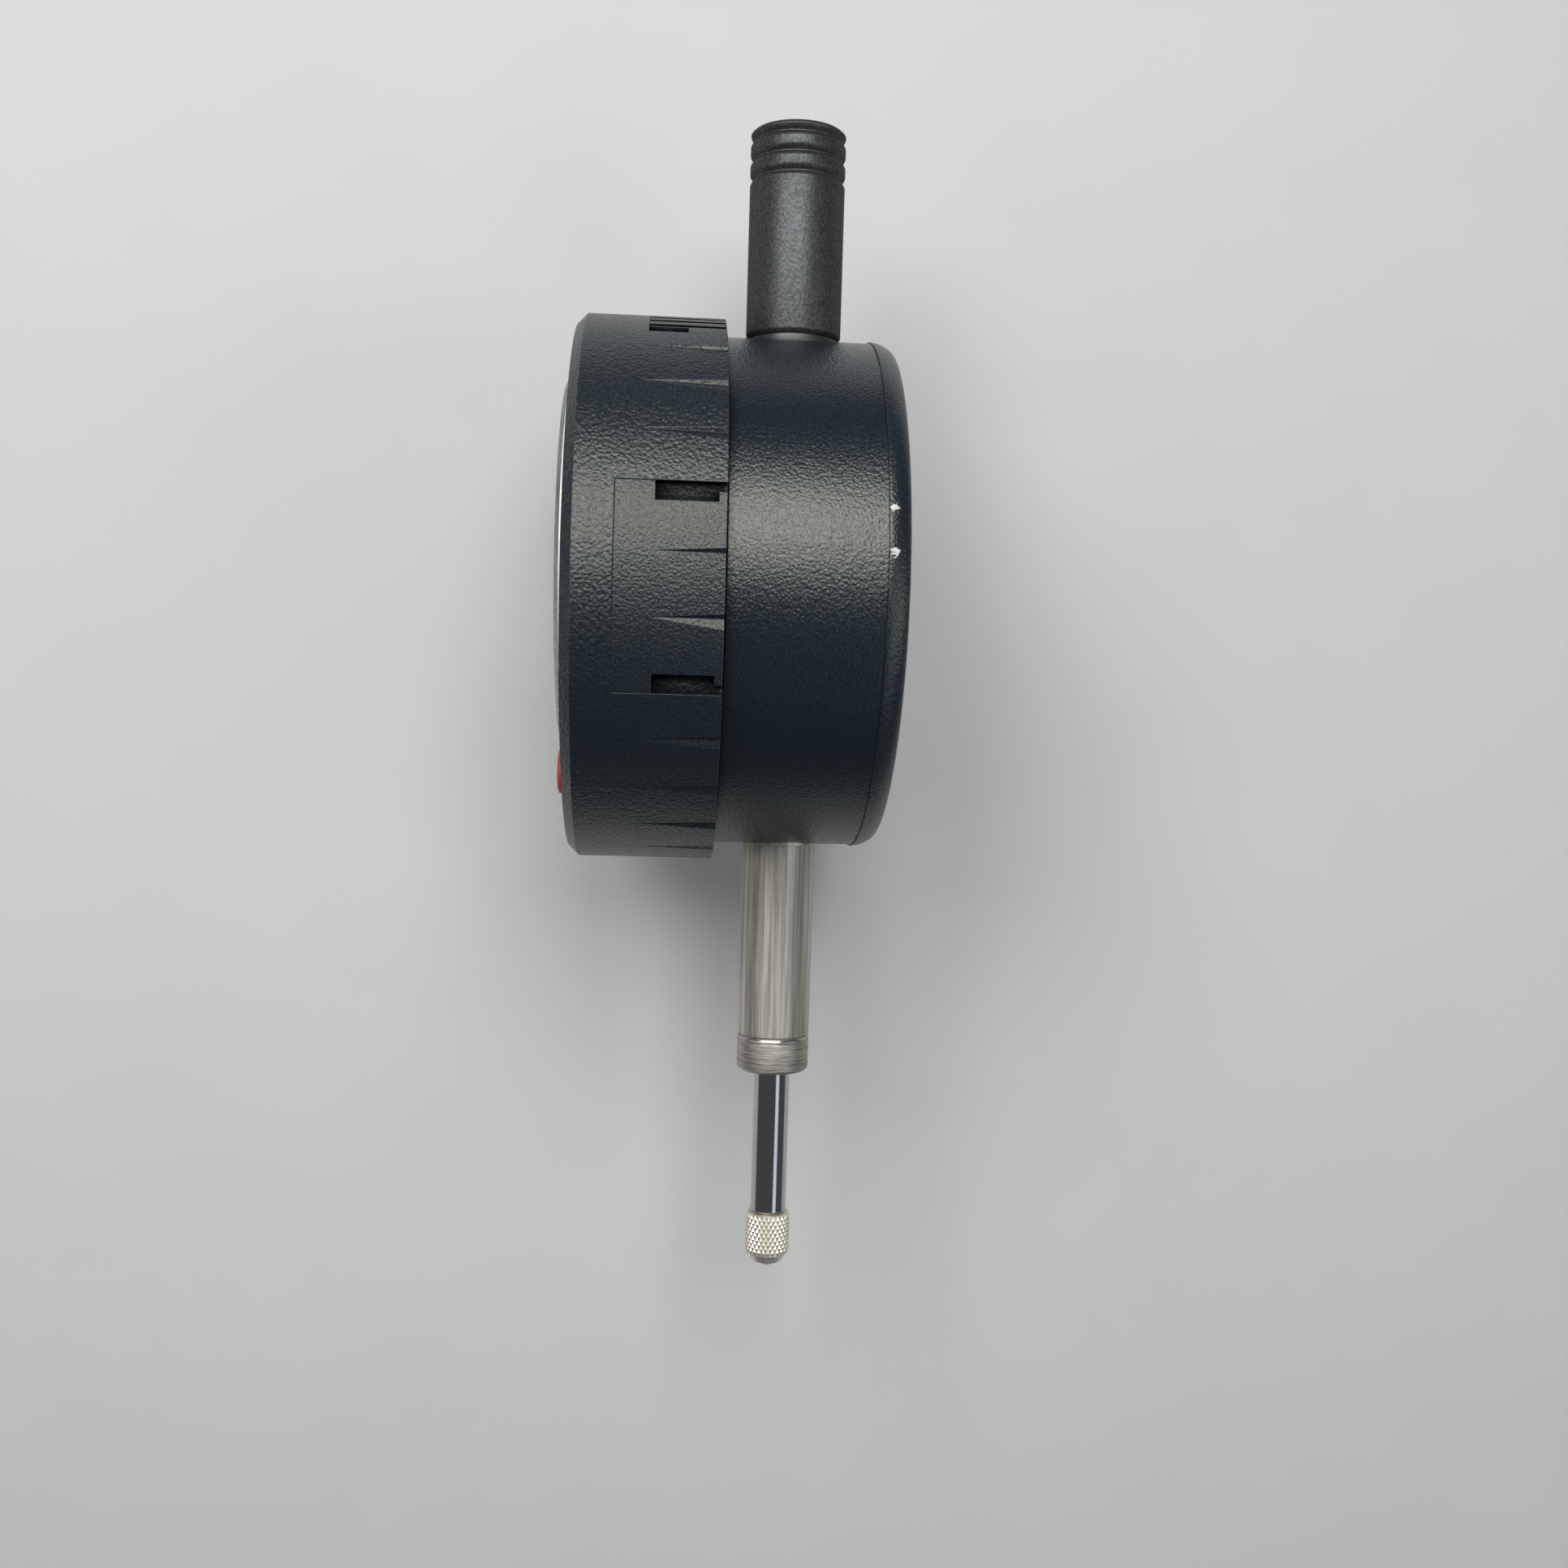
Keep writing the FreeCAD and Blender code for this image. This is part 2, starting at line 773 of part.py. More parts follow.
def lcd_glass():
    half = lcd_width / 2
    return block(-half, half, lcd_front_y, lcd_back_y, lcd_up - lcd_height / 2, lcd_up + lcd_height / 2)


def lcd_frame():
    half = lcd_width / 2 + seat_gap
    tall = lcd_height / 2 + seat_gap
    wide = half + lcd_frame_wall
    high = tall + lcd_frame_wall
    frame = block(-wide, wide, lcd_front_y, board_front_y, lcd_up - high, lcd_up + high)
    return frame.cut(block(-half, half, lcd_front_y, board_front_y, lcd_up - tall, lcd_up + tall))


def contact_strips():
    half = lcd_width / 2 - strip_width
    strips = []
    for side in (-1, 1):
        middle = lcd_up + side * (lcd_height / 2 - strip_width)
        strips.append(block(-half, half, lcd_back_y, board_front_y, middle - strip_width / 2, middle + strip_width / 2))
    return Part.makeCompound(strips)


def display_board():
    outline = [polar(board_r, 360 * i / board_sides) for i in range(board_sides)]
    return prism_y(outline, board_front_y, board_back_y)


def display_chip():
    middle = -(hub_bore_r + chip_size / 2)
    half = chip_size / 2
    return block(middle - half, middle + half, board_back_y, board_back_y + chip_thick, -half, half)


def head_stop_pin():
    return rod_y(stop_pin_r, ring_y - seat_gap, head_floor_y + stop_pin_seat, *polar(stop_circle_r, -90))


def strip_of(points, width):
    """Bent metal strip: a line of (x, y) points, given its thickness and width."""
    back = [(x + contact_strip, y) for x, y in reversed(points)]
    return around(prism_z(points + back, -width / 2, width / 2), tray_angle)


def cell_contact_plus():
    """Strip that reaches through the cradle's window to the side of the cell."""
    side_x = cell_x - cell_r - seat_gap - contact_strip
    far_x = cell_x - cell_r - cradle_wall - stop_gap - contact_strip
    middle_y = (cell_front_y + cell_back_y) / 2
    leaf = strip_of([(far_x, board_back_y), (far_x, cell_front_y), (side_x, middle_y), (far_x, cell_back_y)],
                    contact_width)
    foot = block(far_x - contact_width, far_x + contact_strip, board_back_y, board_back_y + contact_strip,
                 -contact_width / 2, contact_width / 2)
    return joined(leaf, around(foot, tray_angle))


def cell_contact_minus():
    """Strip that slopes from the board to the flat face of the cell."""
    touch_y = cell_front_y - seat_gap
    start_x = cell_x - cell_r / 2
    end_x = cell_x + cell_r / 3
    top = [(start_x, board_back_y), (cell_x - contact_strip * 4, board_back_y)]
    low = [(end_x, touch_y - contact_strip), (end_x, touch_y), (cell_x, touch_y),
           (cell_x - contact_strip * 6, board_back_y + contact_strip), (start_x, board_back_y + contact_strip)]
    profile = top + [(cell_x + contact_strip, touch_y - contact_strip)] + low
    return around(prism_z(profile, -contact_width / 2, contact_width / 2), tray_angle)


def data_socket():
    outer = port_seat - loose_clear
    half = socket_width / 2
    body = block(outer - socket_deep, outer, board_back_y, head_floor_y - stop_gap / 2, -half, half)
    slot = block(outer - tongue_depth - stop_gap, outer, socket_y - slot_height / 2, socket_y + slot_height / 2,
                 -slot_width / 2, slot_width / 2)
    return around(body.cut(slot), port_angle)


# Battery tray and port cover


def battery_tray():
    half = tray_width / 2
    rear = head_rear_y - seat_gap
    plate = rod_y(head_r, tray_front_y, rear).common(around(block(tray_seat, head_r + 1, tray_front_y, rear, -half, half),
                                                            tray_angle))
    inner_x = cell_x - cell_r - seat_gap - cradle_wall
    half_cradle = cradle_width / 2
    cradle_front = cell_front_y + cradle_low
    cradle = around(block(inner_x, tray_seat, cradle_front, cradle_back_y, -half_cradle, half_cradle), tray_angle)
    tray = joined(plate, cradle)
    pocket = rod_y(cell_r + seat_gap, cradle_front, cell_back_y, cell_x)
    window = block(inner_x, cell_x, cradle_front, cell_back_y, -contact_window / 2, contact_window / 2)
    cuts = [around(pocket, tray_angle), around(window, tray_angle)]
    for side in (-1, 1):
        ends = sorted((side * half, side * (half - finger_width)))
        finger = block(tray_seat, head_r, finger_rear_y - finger_length, finger_rear_y, *ends)
        cuts.append(around(finger, tray_angle))
        step_ends = sorted((side * half, side * (half - finger_step)))
        cuts.append(around(block(tray_seat, head_r, finger_rear_y, rear, *step_ends), tray_angle))
        cuts.append(grip_cutter(tray_angle + side * 180 / grip_count, tray_grip_length))
    return tray.cut(cuts)


def coin_cell():
    """Button cell: the wide can at the back, the narrower cap at the front."""
    step = cell_thick * 0.1
    can = rod_y(cell_r, cell_front_y + step, cell_back_y, cell_x)
    cap = rod_y(cell_r * 0.85, cell_front_y, cell_front_y + step, cell_x)
    return around(joined(can, cap), tray_angle)


def port_cover():
    """Ribbed plug, with a tongue in the socket and a slot for a fingernail at its lower edge."""
    half = port_width / 2
    rear = head_rear_y - seat_gap
    space = block(port_seat, head_r + 1, port_front_y, rear, -half, half)
    plate = rod_y(head_r, port_front_y, rear).common(around(space, port_angle))
    tongue_w = slot_width / 2 - loose_clear
    tongue_h = slot_height / 2 - loose_clear
    tongue = block(port_seat - tongue_depth, port_seat, socket_y - tongue_h, socket_y + tongue_h, -tongue_w, tongue_w)
    cover = joined(plate, around(tongue, port_angle))
    pitch = math.degrees(port_width / port_ribs / head_r)
    cuts = []
    for i in range(1, port_ribs):
        angle = port_angle + (i - port_ribs / 2) * pitch
        low = head_r - port_rib_depth
        gap = block(low, head_r + 1, port_front_y, rear, -port_rib_gap / 2, port_rib_gap / 2)
        cuts.append(around(gap, angle))
    nail = block(head_r - nail_depth - port_width / 10, head_r, port_front_y, port_front_y + nail_length,
                 -half, nail_width - half)
    cuts.append(around(nail, port_angle))
    return cover.cut(cuts)


def main():
    os.makedirs("parts", exist_ok=True)
    keep("body_case", body_case())
    keep("back_cover", back_cover())
    keep("back_cover_screws", Part.makeCompound([cover_screw(x, z) for x, z in cover_screw_places()]))
    keep("stem", stem())
    keep("lower_bush", lower_bush())
    keep("upper_bush", upper_bush())
    keep("dust_cap", dust_cap())
    keep("bumper", bumper())
    keep("retaining_ring", retaining_ring())
    keep("spindle", spindle())
    keep("contact_point", contact_point())
    keep("contact_tip", contact_tip())
    keep("spindle_bracket", spindle_bracket())
    keep("bracket_screws", bracket_screws())
    keep("scale_strip", scale_strip())
    keep("guide_pin", guide_pin())
    keep("sensor_board", sensor_board())
    keep("sensor_chip", sensor_chip())
    keep("guide_rail", guide_rail())
    keep("spring_post", spring_post())
    keep("return_spring", return_spring())
    keep("ribbon_cable", ribbon_cable())
    keep("head_shell", head_shell())
    keep("face_plate", face_plate())
    keep("lens", lens())
    for name, place in zip(("button_left", "button_middle", "button_right"), button_places()):
        keep(name, button(*place))
    keep("key_mat", key_mat())
    keep("lcd_glass", lcd_glass())
    keep("lcd_frame", lcd_frame())
    keep("contact_strips", contact_strips())
    keep("display_board", display_board())
    keep("display_chip", display_chip())
    keep("head_stop_pin", head_stop_pin())
    keep("cell_contact_plus", cell_contact_plus())
    keep("cell_contact_minus", cell_contact_minus())
    keep("data_socket", data_socket())
    keep("battery_tray", battery_tray())
    keep("coin_cell", coin_cell())
    keep("port_cover", port_cover())


main()
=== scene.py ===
"""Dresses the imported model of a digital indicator: finer pieces, materials, light and camera."""

import math

import bpy
from mathutils import Matrix, Vector


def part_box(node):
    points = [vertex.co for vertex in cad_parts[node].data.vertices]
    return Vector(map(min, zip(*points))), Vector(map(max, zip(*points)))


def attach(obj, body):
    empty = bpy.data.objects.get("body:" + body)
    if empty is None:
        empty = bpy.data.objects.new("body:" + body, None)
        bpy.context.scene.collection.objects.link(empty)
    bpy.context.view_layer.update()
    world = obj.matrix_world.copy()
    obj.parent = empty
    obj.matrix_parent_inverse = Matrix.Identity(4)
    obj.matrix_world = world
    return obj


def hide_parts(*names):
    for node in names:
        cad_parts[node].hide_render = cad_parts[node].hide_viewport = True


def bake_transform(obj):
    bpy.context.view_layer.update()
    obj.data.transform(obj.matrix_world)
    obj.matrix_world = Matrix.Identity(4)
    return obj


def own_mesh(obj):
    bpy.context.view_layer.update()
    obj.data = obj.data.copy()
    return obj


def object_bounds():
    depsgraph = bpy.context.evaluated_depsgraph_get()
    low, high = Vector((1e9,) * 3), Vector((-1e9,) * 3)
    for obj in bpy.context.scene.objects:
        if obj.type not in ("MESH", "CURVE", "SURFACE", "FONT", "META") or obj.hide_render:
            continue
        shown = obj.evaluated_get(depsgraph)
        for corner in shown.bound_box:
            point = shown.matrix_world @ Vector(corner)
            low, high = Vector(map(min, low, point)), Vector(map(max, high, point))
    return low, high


bl_info = {
    "name": "Digital indicator",
    "version": (1, 0, 0),
    "blender": (4, 5, 0),
    "location": "3D View > Sidebar > Indicator",
    "description": "Finer pieces, materials, light and camera for a digital indicator",
    "category": "Object",
}

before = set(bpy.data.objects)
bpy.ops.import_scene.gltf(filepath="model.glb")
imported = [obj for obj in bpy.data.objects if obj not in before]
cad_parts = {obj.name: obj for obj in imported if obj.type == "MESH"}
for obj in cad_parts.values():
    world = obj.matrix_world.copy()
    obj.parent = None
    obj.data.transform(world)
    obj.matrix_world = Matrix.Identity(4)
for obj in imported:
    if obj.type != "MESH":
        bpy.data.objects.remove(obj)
cad_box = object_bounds()
MM = 0.001
TABLE_SIZE = 0.46
LENS = 36
CAMERA_RIGHT = Vector((0.07316837, 0.9968961, 0.02906118))
CAMERA_BACK = Vector((0.99525865, -0.07485851, 0.06210017))


def low(node):
    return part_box(node)[0]


def high(node):
    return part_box(node)[1]


def middle(node):
    return (low(node) + high(node)) / 2


def linear(code):
    """Linear red, green, blue and alpha of an sRGB hex colour."""
    parts = [int(code[i:i + 2], 16) / 255 for i in (1, 3, 5)]
    return tuple(c / 12.92 if c <= 0.04045 else ((c + 0.055) / 1.055) ** 2.4 for c in parts) + (1.0,)


# Sizes and colours that a user would change


class IndicatorFinish(bpy.types.PropertyGroup):
    plastic: bpy.props.FloatVectorProperty(
        name="Moulded plastic", description="Colour of the head, the body and the rear cover",
        subtype="COLOR", size=4, min=0, max=1, default=linear("#101d27"))
    plastic_grain: bpy.props.FloatProperty(
        name="Plastic grain", description="Width of one pebble of the moulded grain",
        subtype="DISTANCE", unit="LENGTH", default=0.4 * MM)
    cap: bpy.props.FloatVectorProperty(
        name="Dust cap", description="Colour of the anodised cap",
        subtype="COLOR", size=4, min=0, max=1, default=linear("#4b4d4f"))
    steel: bpy.props.FloatVectorProperty(
        name="Ground steel", description="Colour of the stem",
        subtype="COLOR", size=4, min=0, max=1, default=linear("#d3d0c4"))
    panel: bpy.props.FloatVectorProperty(
        name="Face panel", description="Colour of the panel round the window",
        subtype="COLOR", size=4, min=0, max=1, default=linear("#8d9194"))
    red: bpy.props.FloatVectorProperty(
        name="Red button", description="Colour of the button at the right",
        subtype="COLOR", size=4, min=0, max=1, default=linear("#9c3836"))


class IndicatorShape(bpy.types.PropertyGroup):
    turn_steps: bpy.props.IntProperty(
        name="Turning steps", description="Steps round a turned piece", default=128, min=24)
    edge: bpy.props.FloatProperty(
        name="Broken edge", description="Width of the broken edge of a turned piece",
        subtype="DISTANCE", unit="LENGTH", default=0.12 * MM)
    knurl_count: bpy.props.IntProperty(
        name="Knurl teeth", description="Teeth round the contact point", default=26, min=8)
    knurl_pitch: bpy.props.FloatProperty(
        name="Knurl pitch", description="Distance from tooth to tooth along the contact point",
        subtype="DISTANCE", unit="LENGTH", default=0.95 * MM)
    knurl_depth: bpy.props.FloatProperty(
        name="Knurl depth", description="Height of the knurl's teeth",
        subtype="DISTANCE", unit="LENGTH", default=0.2 * MM)
    groove_pitch: bpy.props.FloatProperty(
        name="Cap groove pitch", description="Distance from groove to groove on the dust cap",
        subtype="DISTANCE", unit="LENGTH", default=2.07 * MM)
    coil_turns: bpy.props.IntProperty(
        name="Spring turns", description="Turns of the return spring", default=34, min=4)
    digit_height: bpy.props.FloatProperty(
        name="Digit height", description="Height of the digits on the display",
        subtype="DISTANCE", unit="LENGTH", default=8.5 * MM)


class IndicatorStage(bpy.types.PropertyGroup):
    table_gap: bpy.props.FloatProperty(
        name="Table gap", description="Distance from the head's left side to the table it lies on",
        subtype="DISTANCE", unit="LENGTH", default=1.5 * MM)
    camera_place: bpy.props.FloatVectorProperty(
        name="Camera", description="Place of the camera", subtype="TRANSLATION", unit="LENGTH", size=3,
        default=(0.173828, -0.012640, 0.028055))
    lamp_distance: bpy.props.FloatProperty(
        name="Lamp distance", description="Distance from the object to each light",
        subtype="DISTANCE", unit="LENGTH", default=0.44)
    key_power: bpy.props.FloatProperty(
        name="Key lights", description="Power of each of the two large soft lights",
        subtype="POWER", unit="POWER", default=1.22)
    low_power: bpy.props.FloatProperty(
        name="Low lights", description="Power of each of the two low lights at the sides",
        subtype="POWER", unit="POWER", default=0.22)
    strip_power: bpy.props.FloatProperty(
        name="Strip light", description="Power of the tall light that the spindle mirrors",
        subtype="POWER", unit="POWER", default=0.17)
    sky: bpy.props.FloatProperty(
        name="Sky", description="Strength of the even light from all round", default=0.115)


# Modelling steps


def only(piece):
    """Selects one piece and makes it the active one."""
    bpy.ops.object.select_all(action="DESELECT")
    piece.select_set(True)
    bpy.context.view_layer.objects.active = piece


def fresh(name):
    """Names the primitive that was just added."""
    piece = bpy.context.object
    piece.name = name
    piece.data.name = name
    return piece


def settle(piece):
    """Puts a piece's place, turn and scale into its mesh."""
    only(piece)
    bpy.ops.object.transform_apply(location=True, rotation=True, scale=True)
    return piece


def apply_modifier(piece, kind, **settings):
    """Adds a modifier with its settings and applies it."""
    only(piece)
    bpy.ops.object.modifier_add(type=kind)
    modifier = piece.modifiers[-1]
    for key, value in settings.items():
        setattr(modifier, key, value)
    bpy.ops.object.modifier_apply(modifier=modifier.name)
    return piece


def break_edges(piece, width, segments=3):
    return apply_modifier(piece, "BEVEL", width=width, segments=segments, limit_method="ANGLE",
                          angle_limit=math.radians(25), harden_normals=False)


def smooth(piece, degrees=32):
    only(piece)
    bpy.ops.object.shade_smooth_by_angle(angle=math.radians(degrees))
    return piece


def drawn(name, places):
    """A chain of edges through some places, left in edit mode and selected."""
    bpy.ops.object.select_all(action="DESELECT")
    bpy.ops.mesh.primitive_plane_add(size=MM, location=(0, 0, 0))
    piece = fresh(name)
    bpy.ops.object.mode_set(mode="EDIT")
    bpy.ops.mesh.select_all(action="SELECT")
    bpy.ops.mesh.merge(type="CENTER")
    bpy.ops.transform.translate(value=places[0])
    for start, end in zip(places, places[1:]):
        bpy.ops.mesh.extrude_vertices_move(TRANSFORM_OT_translate={"value": end - start})
    bpy.ops.mesh.select_all(action="SELECT")
    return piece


def turned(name, outline, centre=(0, 0, 0), axis="Z", steps=None):
    """Spins an outline of (radius, height) points round an axis through a centre."""
    steps = steps or bpy.context.scene.indicator_shape.turn_steps
    upright = axis == "Z"
    if upright:
        places = [Vector((centre[0] + r, centre[1], h)) for r, h in outline]
    else:
        places = [Vector((centre[0] + r, h, centre[2])) for r, h in outline]
    piece = drawn(name, places)
    axis_way = (0, 0, 1) if upright else (0, 1, 0)
    bpy.ops.mesh.spin(steps=steps, angle=math.tau, center=centre, axis=axis_way)
    bpy.ops.mesh.select_all(action="SELECT")
    bpy.ops.mesh.remove_doubles(threshold=0.001 * MM)
    bpy.ops.mesh.normals_make_consistent(inside=False)
    bpy.ops.object.mode_set(mode="OBJECT")
    return piece


def cut_away(piece, cutter):
    """Cuts one piece's shape out of another, and removes it."""
    apply_modifier(piece, "BOOLEAN", operation="DIFFERENCE", object=cutter, solver="EXACT")
    bpy.data.objects.remove(cutter)
    return piece


def joined(name, pieces):
    """Joins like pieces into one."""
    bpy.ops.object.select_all(action="DESELECT")
    for piece in pieces:
        piece.select_set(True)
    bpy.context.view_layer.objects.active = pieces[0]
    bpy.ops.object.join()
    return fresh(name)


def copied(piece, name):
    """A copy with its own mesh."""
    only(piece)
    bpy.ops.object.duplicate(linked=False)
    return fresh(name)


def dress(piece, material, body, slot, *nodes):
    """Gives a piece its material and its body, and lets it stand for the nodes that it replaces."""
    piece.data.materials.clear()
    piece.data.materials.append(material)
    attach(piece, body)
    if nodes:
        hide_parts(*nodes)
    return piece


def paint(node, material):
    """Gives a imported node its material."""
    node_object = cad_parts[node]
    node_object.data.materials.clear()
    node_object.data.materials.append(material)


# Materials. Patterns that are finer than a pixel of the render are drawn as coarse as they need to show


def add(tree, kind, inputs=None, **settings):
    """Adds a shader node, with its settings, values and links."""
    made = tree.nodes.new(kind)
    for key, value in settings.items():
        setattr(made, key, value)
    for key, value in (inputs or {}).items():
        if isinstance(value, bpy.types.NodeSocket):
            tree.links.new(value, made.inputs[key])
        else:
            made.inputs[key].default_value = value
    return made


def blank(name):
    """An empty material with its tree, and a link from its shader to its output."""
    material = bpy.data.materials.new(name)
    material.use_nodes = True
    material.node_tree.nodes.clear()
    return material, material.node_tree


def close(tree, shader):
    add(tree, "ShaderNodeOutputMaterial", {"Surface": shader.outputs[0]})


def places_on(tree, sizes=(1, 1, 1)):
    """Object coordinates in units of a pattern's real size along X, Y and Z."""
    coordinates = add(tree, "ShaderNodeTexCoord").outputs["Object"]
    scale = tuple(1 / size for size in sizes)
    return add(tree, "ShaderNodeMapping", {"Vector": coordinates, "Scale": scale}).outputs[0]


def shaded(colour, share, lift=0.0):
    """A colour made darker or lighter by a share."""
    return tuple(min(1.0, c * share + lift) for c in colour[:3]) + (1.0,)


def worn_edge(tree, radius):
    """1 on an edge and 0 on the flat, from how far a rounded edge would lean away."""
    rounded = add(tree, "ShaderNodeBevel", {"Radius": radius}, samples=6)
    flat = add(tree, "ShaderNodeNewGeometry").outputs["Normal"]
    lean = add(tree, "ShaderNodeVectorMath", {0: rounded.outputs[0], 1: flat}, operation="DOT_PRODUCT")
    limits = {0: lean.outputs["Value"], 1: 0.99, 2: 0.8, 3: 0.0, 4: 1.0}
    return add(tree, "ShaderNodeMapRange", limits).outputs[0]


def painted_glint_mask(tree, places, radius):
    """1 on painted glints round some places, broken up into short streaks, and 0 elsewhere."""
    point = places_on(tree)
    glint_breakup = (MM / 3, MM / 1.3, MM / 3)
    grit = add(tree, "ShaderNodeTexNoise", {
        "Vector": places_on(tree, glint_breakup), "Scale": 1.0, "Detail": 2.0}).outputs["Fac"]
    spots = 0.0
    for place in places:
        away = add(tree, "ShaderNodeVectorMath", {0: point, 1: place}, operation="DISTANCE").outputs["Value"]
        limits = {0: away, 1: radius, 2: radius * 0.3, 3: 0.0, 4: 1.0}
        spot = add(tree, "ShaderNodeMapRange", limits).outputs[0]
        spots = add(tree, "ShaderNodeMath", {0: spots, 1: spot}, operation="MAXIMUM").outputs[0]
    rough = add(tree, "ShaderNodeMath", {0: spots, 1: grit}, operation="MULTIPLY").outputs[0]
    return add(tree, "ShaderNodeMapRange", {0: rough, 1: 0.4, 2: 0.52, 3: 0.0, 4: 0.85}).outputs[0]


def moulded_plastic(name, colour, grain, depth, roughness, shade=(1.2 * MM, 0.3, 0.85), glint_places=()):
    """Glass filled nylon from a spark eroded mould.

    A fine pebble breaks up the highlight. Edges are lighter, partly as rubbed wear and partly as a painted
    highlight, and openings get painted shade that darkens their colour and their reflection. The shade says
    how far the nylon looks round itself, and between which openness it goes from dark to lit.
    """
    material, tree = blank(name)
    edge = 0.12 * MM
    reach, closed, free = shade
    hollow = add(tree, "ShaderNodeAmbientOcclusion", {"Distance": reach}, samples=8).outputs["AO"]
    painted_shade_openness = add(tree, "ShaderNodeMapRange", {0: hollow, 1: closed, 2: free, 3: 0.0, 4: 1.0}).outputs[0]
    place = places_on(tree, (grain,) * 3)
    pebbles = add(tree, "ShaderNodeTexVoronoi", {"Vector": place, "Scale": 1.0}, feature="F1")
    fine = add(tree, "ShaderNodeTexNoise", {"Vector": place, "Scale": 1.6, "Detail": 2.0, "Roughness": 0.6})
    broad = add(tree, "ShaderNodeTexNoise", {"Vector": place, "Scale": 0.06, "Detail": 2.0})
    height = add(tree, "ShaderNodeMath", {0: fine.outputs["Fac"], 1: pebbles.outputs["Distance"]},
                 operation="SUBTRACT")
    rounded = add(tree, "ShaderNodeBevel", {"Radius": edge}, samples=6)
    relief = add(tree, "ShaderNodeMapRange", {0: painted_shade_openness, 1: 0.0, 2: 1.0, 3: 0.3, 4: 1.0}).outputs[0]
    bump = add(tree, "ShaderNodeBump", {"Strength": relief, "Distance": depth, "Height": height.outputs[0],
                                        "Normal": rounded.outputs[0]})
    # Edges are lightened, partly as rubbed wear and partly as a painted highlight along each edge
    worn = worn_edge(tree, edge * 1.5)
    light = shaded(colour, 2.4, 0.02)
    cloud = add(tree, "ShaderNodeMix", {0: broad.outputs["Fac"], 6: shaded(colour, 0.8), 7: colour},
                data_type="RGBA").outputs[2]
    rub = add(tree, "ShaderNodeMath", {0: worn, 1: 0.35}, operation="MULTIPLY").outputs[0]
    shine = add(tree, "ShaderNodeMapRange", {0: fine.outputs["Fac"], 1: 0.3, 2: 0.7, 3: roughness - 0.1,
                                             4: roughness + 0.1}).outputs[0]
    # Painted shade: where the nylon is closed in, its colour goes nearly black and its reflection is tinted
    # down to dark grey
    painted_shade_gleam, painted_shade_tone = (0.08, 0.08, 0.08, 1.0), (0.002, 0.003, 0.004, 1.0)
    specular_tint_with_painted_shade = add(tree, "ShaderNodeMix", {0: painted_shade_openness, 6: painted_shade_gleam, 7: linear("#fffff2")},
                data_type="RGBA").outputs[2]
    rubbed = add(tree, "ShaderNodeMix", {0: rub, 6: cloud, 7: light}, data_type="RGBA").outputs[2]
    tone = add(tree, "ShaderNodeMix", {0: painted_shade_openness, 6: painted_shade_tone, 7: rubbed}, data_type="RGBA").outputs[2]
    if glint_places:
        painted_glint = painted_glint_mask(tree, glint_places, 1.1 * MM)
        # Painted glints: two pale grey spots stand in for reflections of the lamps
        tone = add(tree, "ShaderNodeMix", {0: painted_glint, 6: tone, 7: linear("#dcdcd6")},
                   data_type="RGBA").outputs[2]
    close(tree, add(tree, "ShaderNodeBsdfPrincipled", {
        "Base Color": tone, "Roughness": shine, "Normal": bump.outputs[0],
        "Specular IOR Level": 0.6, "Specular Tint": specular_tint_with_painted_shade}))
    return material


def turned_metal(name, colour, roughness, marks, streak, across=(1, 1, 40), round_z=0.0,
                 depth=0.0006 * MM, speckle=0.0, lip=0.0):
    """Turned or ground metal: fine marks that lie one way, 40 times as long as wide.

    Round an axis they draw the highlight out. A speckle of grit breaks them up, and a lip is a
    polished band where the metal leans up.
    """
    material, tree = blank(name)
    longest = 40 * marks
    place = places_on(tree, tuple(longest / share for share in across))
    lines = add(tree, "ShaderNodeTexNoise", {"Vector": place, "Scale": 1.0, "Detail": 4.0, "Roughness": 0.65})
    patch = (MM / 0.18, MM / 0.18, MM / 0.06)
    stain = add(tree, "ShaderNodeTexNoise", {
        "Vector": places_on(tree, patch), "Scale": 1.0, "Detail": 3.0}).outputs["Fac"]
    rounded = add(tree, "ShaderNodeBevel", {"Radius": 0.08 * MM}, samples=4)
    height = lines.outputs["Fac"]
    if speckle:
        grit = add(tree, "ShaderNodeTexNoise", {
            "Vector": places_on(tree, (MM / 5, MM / 5, MM / 7)), "Scale": 1.0, "Detail": 2.0}).outputs["Fac"]
        raised = {0: grit, 1: speckle, 2: height}
        height = add(tree, "ShaderNodeMath", raised, operation="MULTIPLY_ADD").outputs[0]
    bump = add(tree, "ShaderNodeBump", {"Strength": 0.5, "Distance": depth, "Height": height,
                                        "Normal": rounded.outputs[0]})
    tone = add(tree, "ShaderNodeMapRange", {0: lines.outputs["Fac"], 1: 0.4, 2: 0.6}).outputs[0]
    shine = add(tree, "ShaderNodeMapRange", {0: stain, 1: 0.3, 2: 0.7, 3: roughness * 0.85,
                                             4: roughness * 1.2}).outputs[0]
    if lip:
        facing = add(tree, "ShaderNodeNewGeometry").outputs["Normal"]
        leaning = add(tree, "ShaderNodeSeparateXYZ", {0: facing}).outputs["Z"]
        band = add(tree, "ShaderNodeMath", {0: leaning, 1: 0.4, 2: 0.25}, operation="COMPARE").outputs[0]
        shine = add(tree, "ShaderNodeMapRange", {0: band, 3: shine, 4: lip}).outputs[0]
    streaked = add(tree, "ShaderNodeMix", {0: tone, 6: shaded(colour, 1 - streak), 7: colour},
                   data_type="RGBA").outputs[2]
    values = {"Base Color": streaked, "Metallic": 1.0, "Roughness": shine, "Normal": bump.outputs[0]}
    if round_z:
        values["Tangent"] = add(tree, "ShaderNodeTangent", direction_type="RADIAL", axis="Z").outputs[0]
        values["Anisotropic"] = round_z
        values["Anisotropic Rotation"] = 0.25
    close(tree, add(tree, "ShaderNodeBsdfPrincipled", values))
    return material


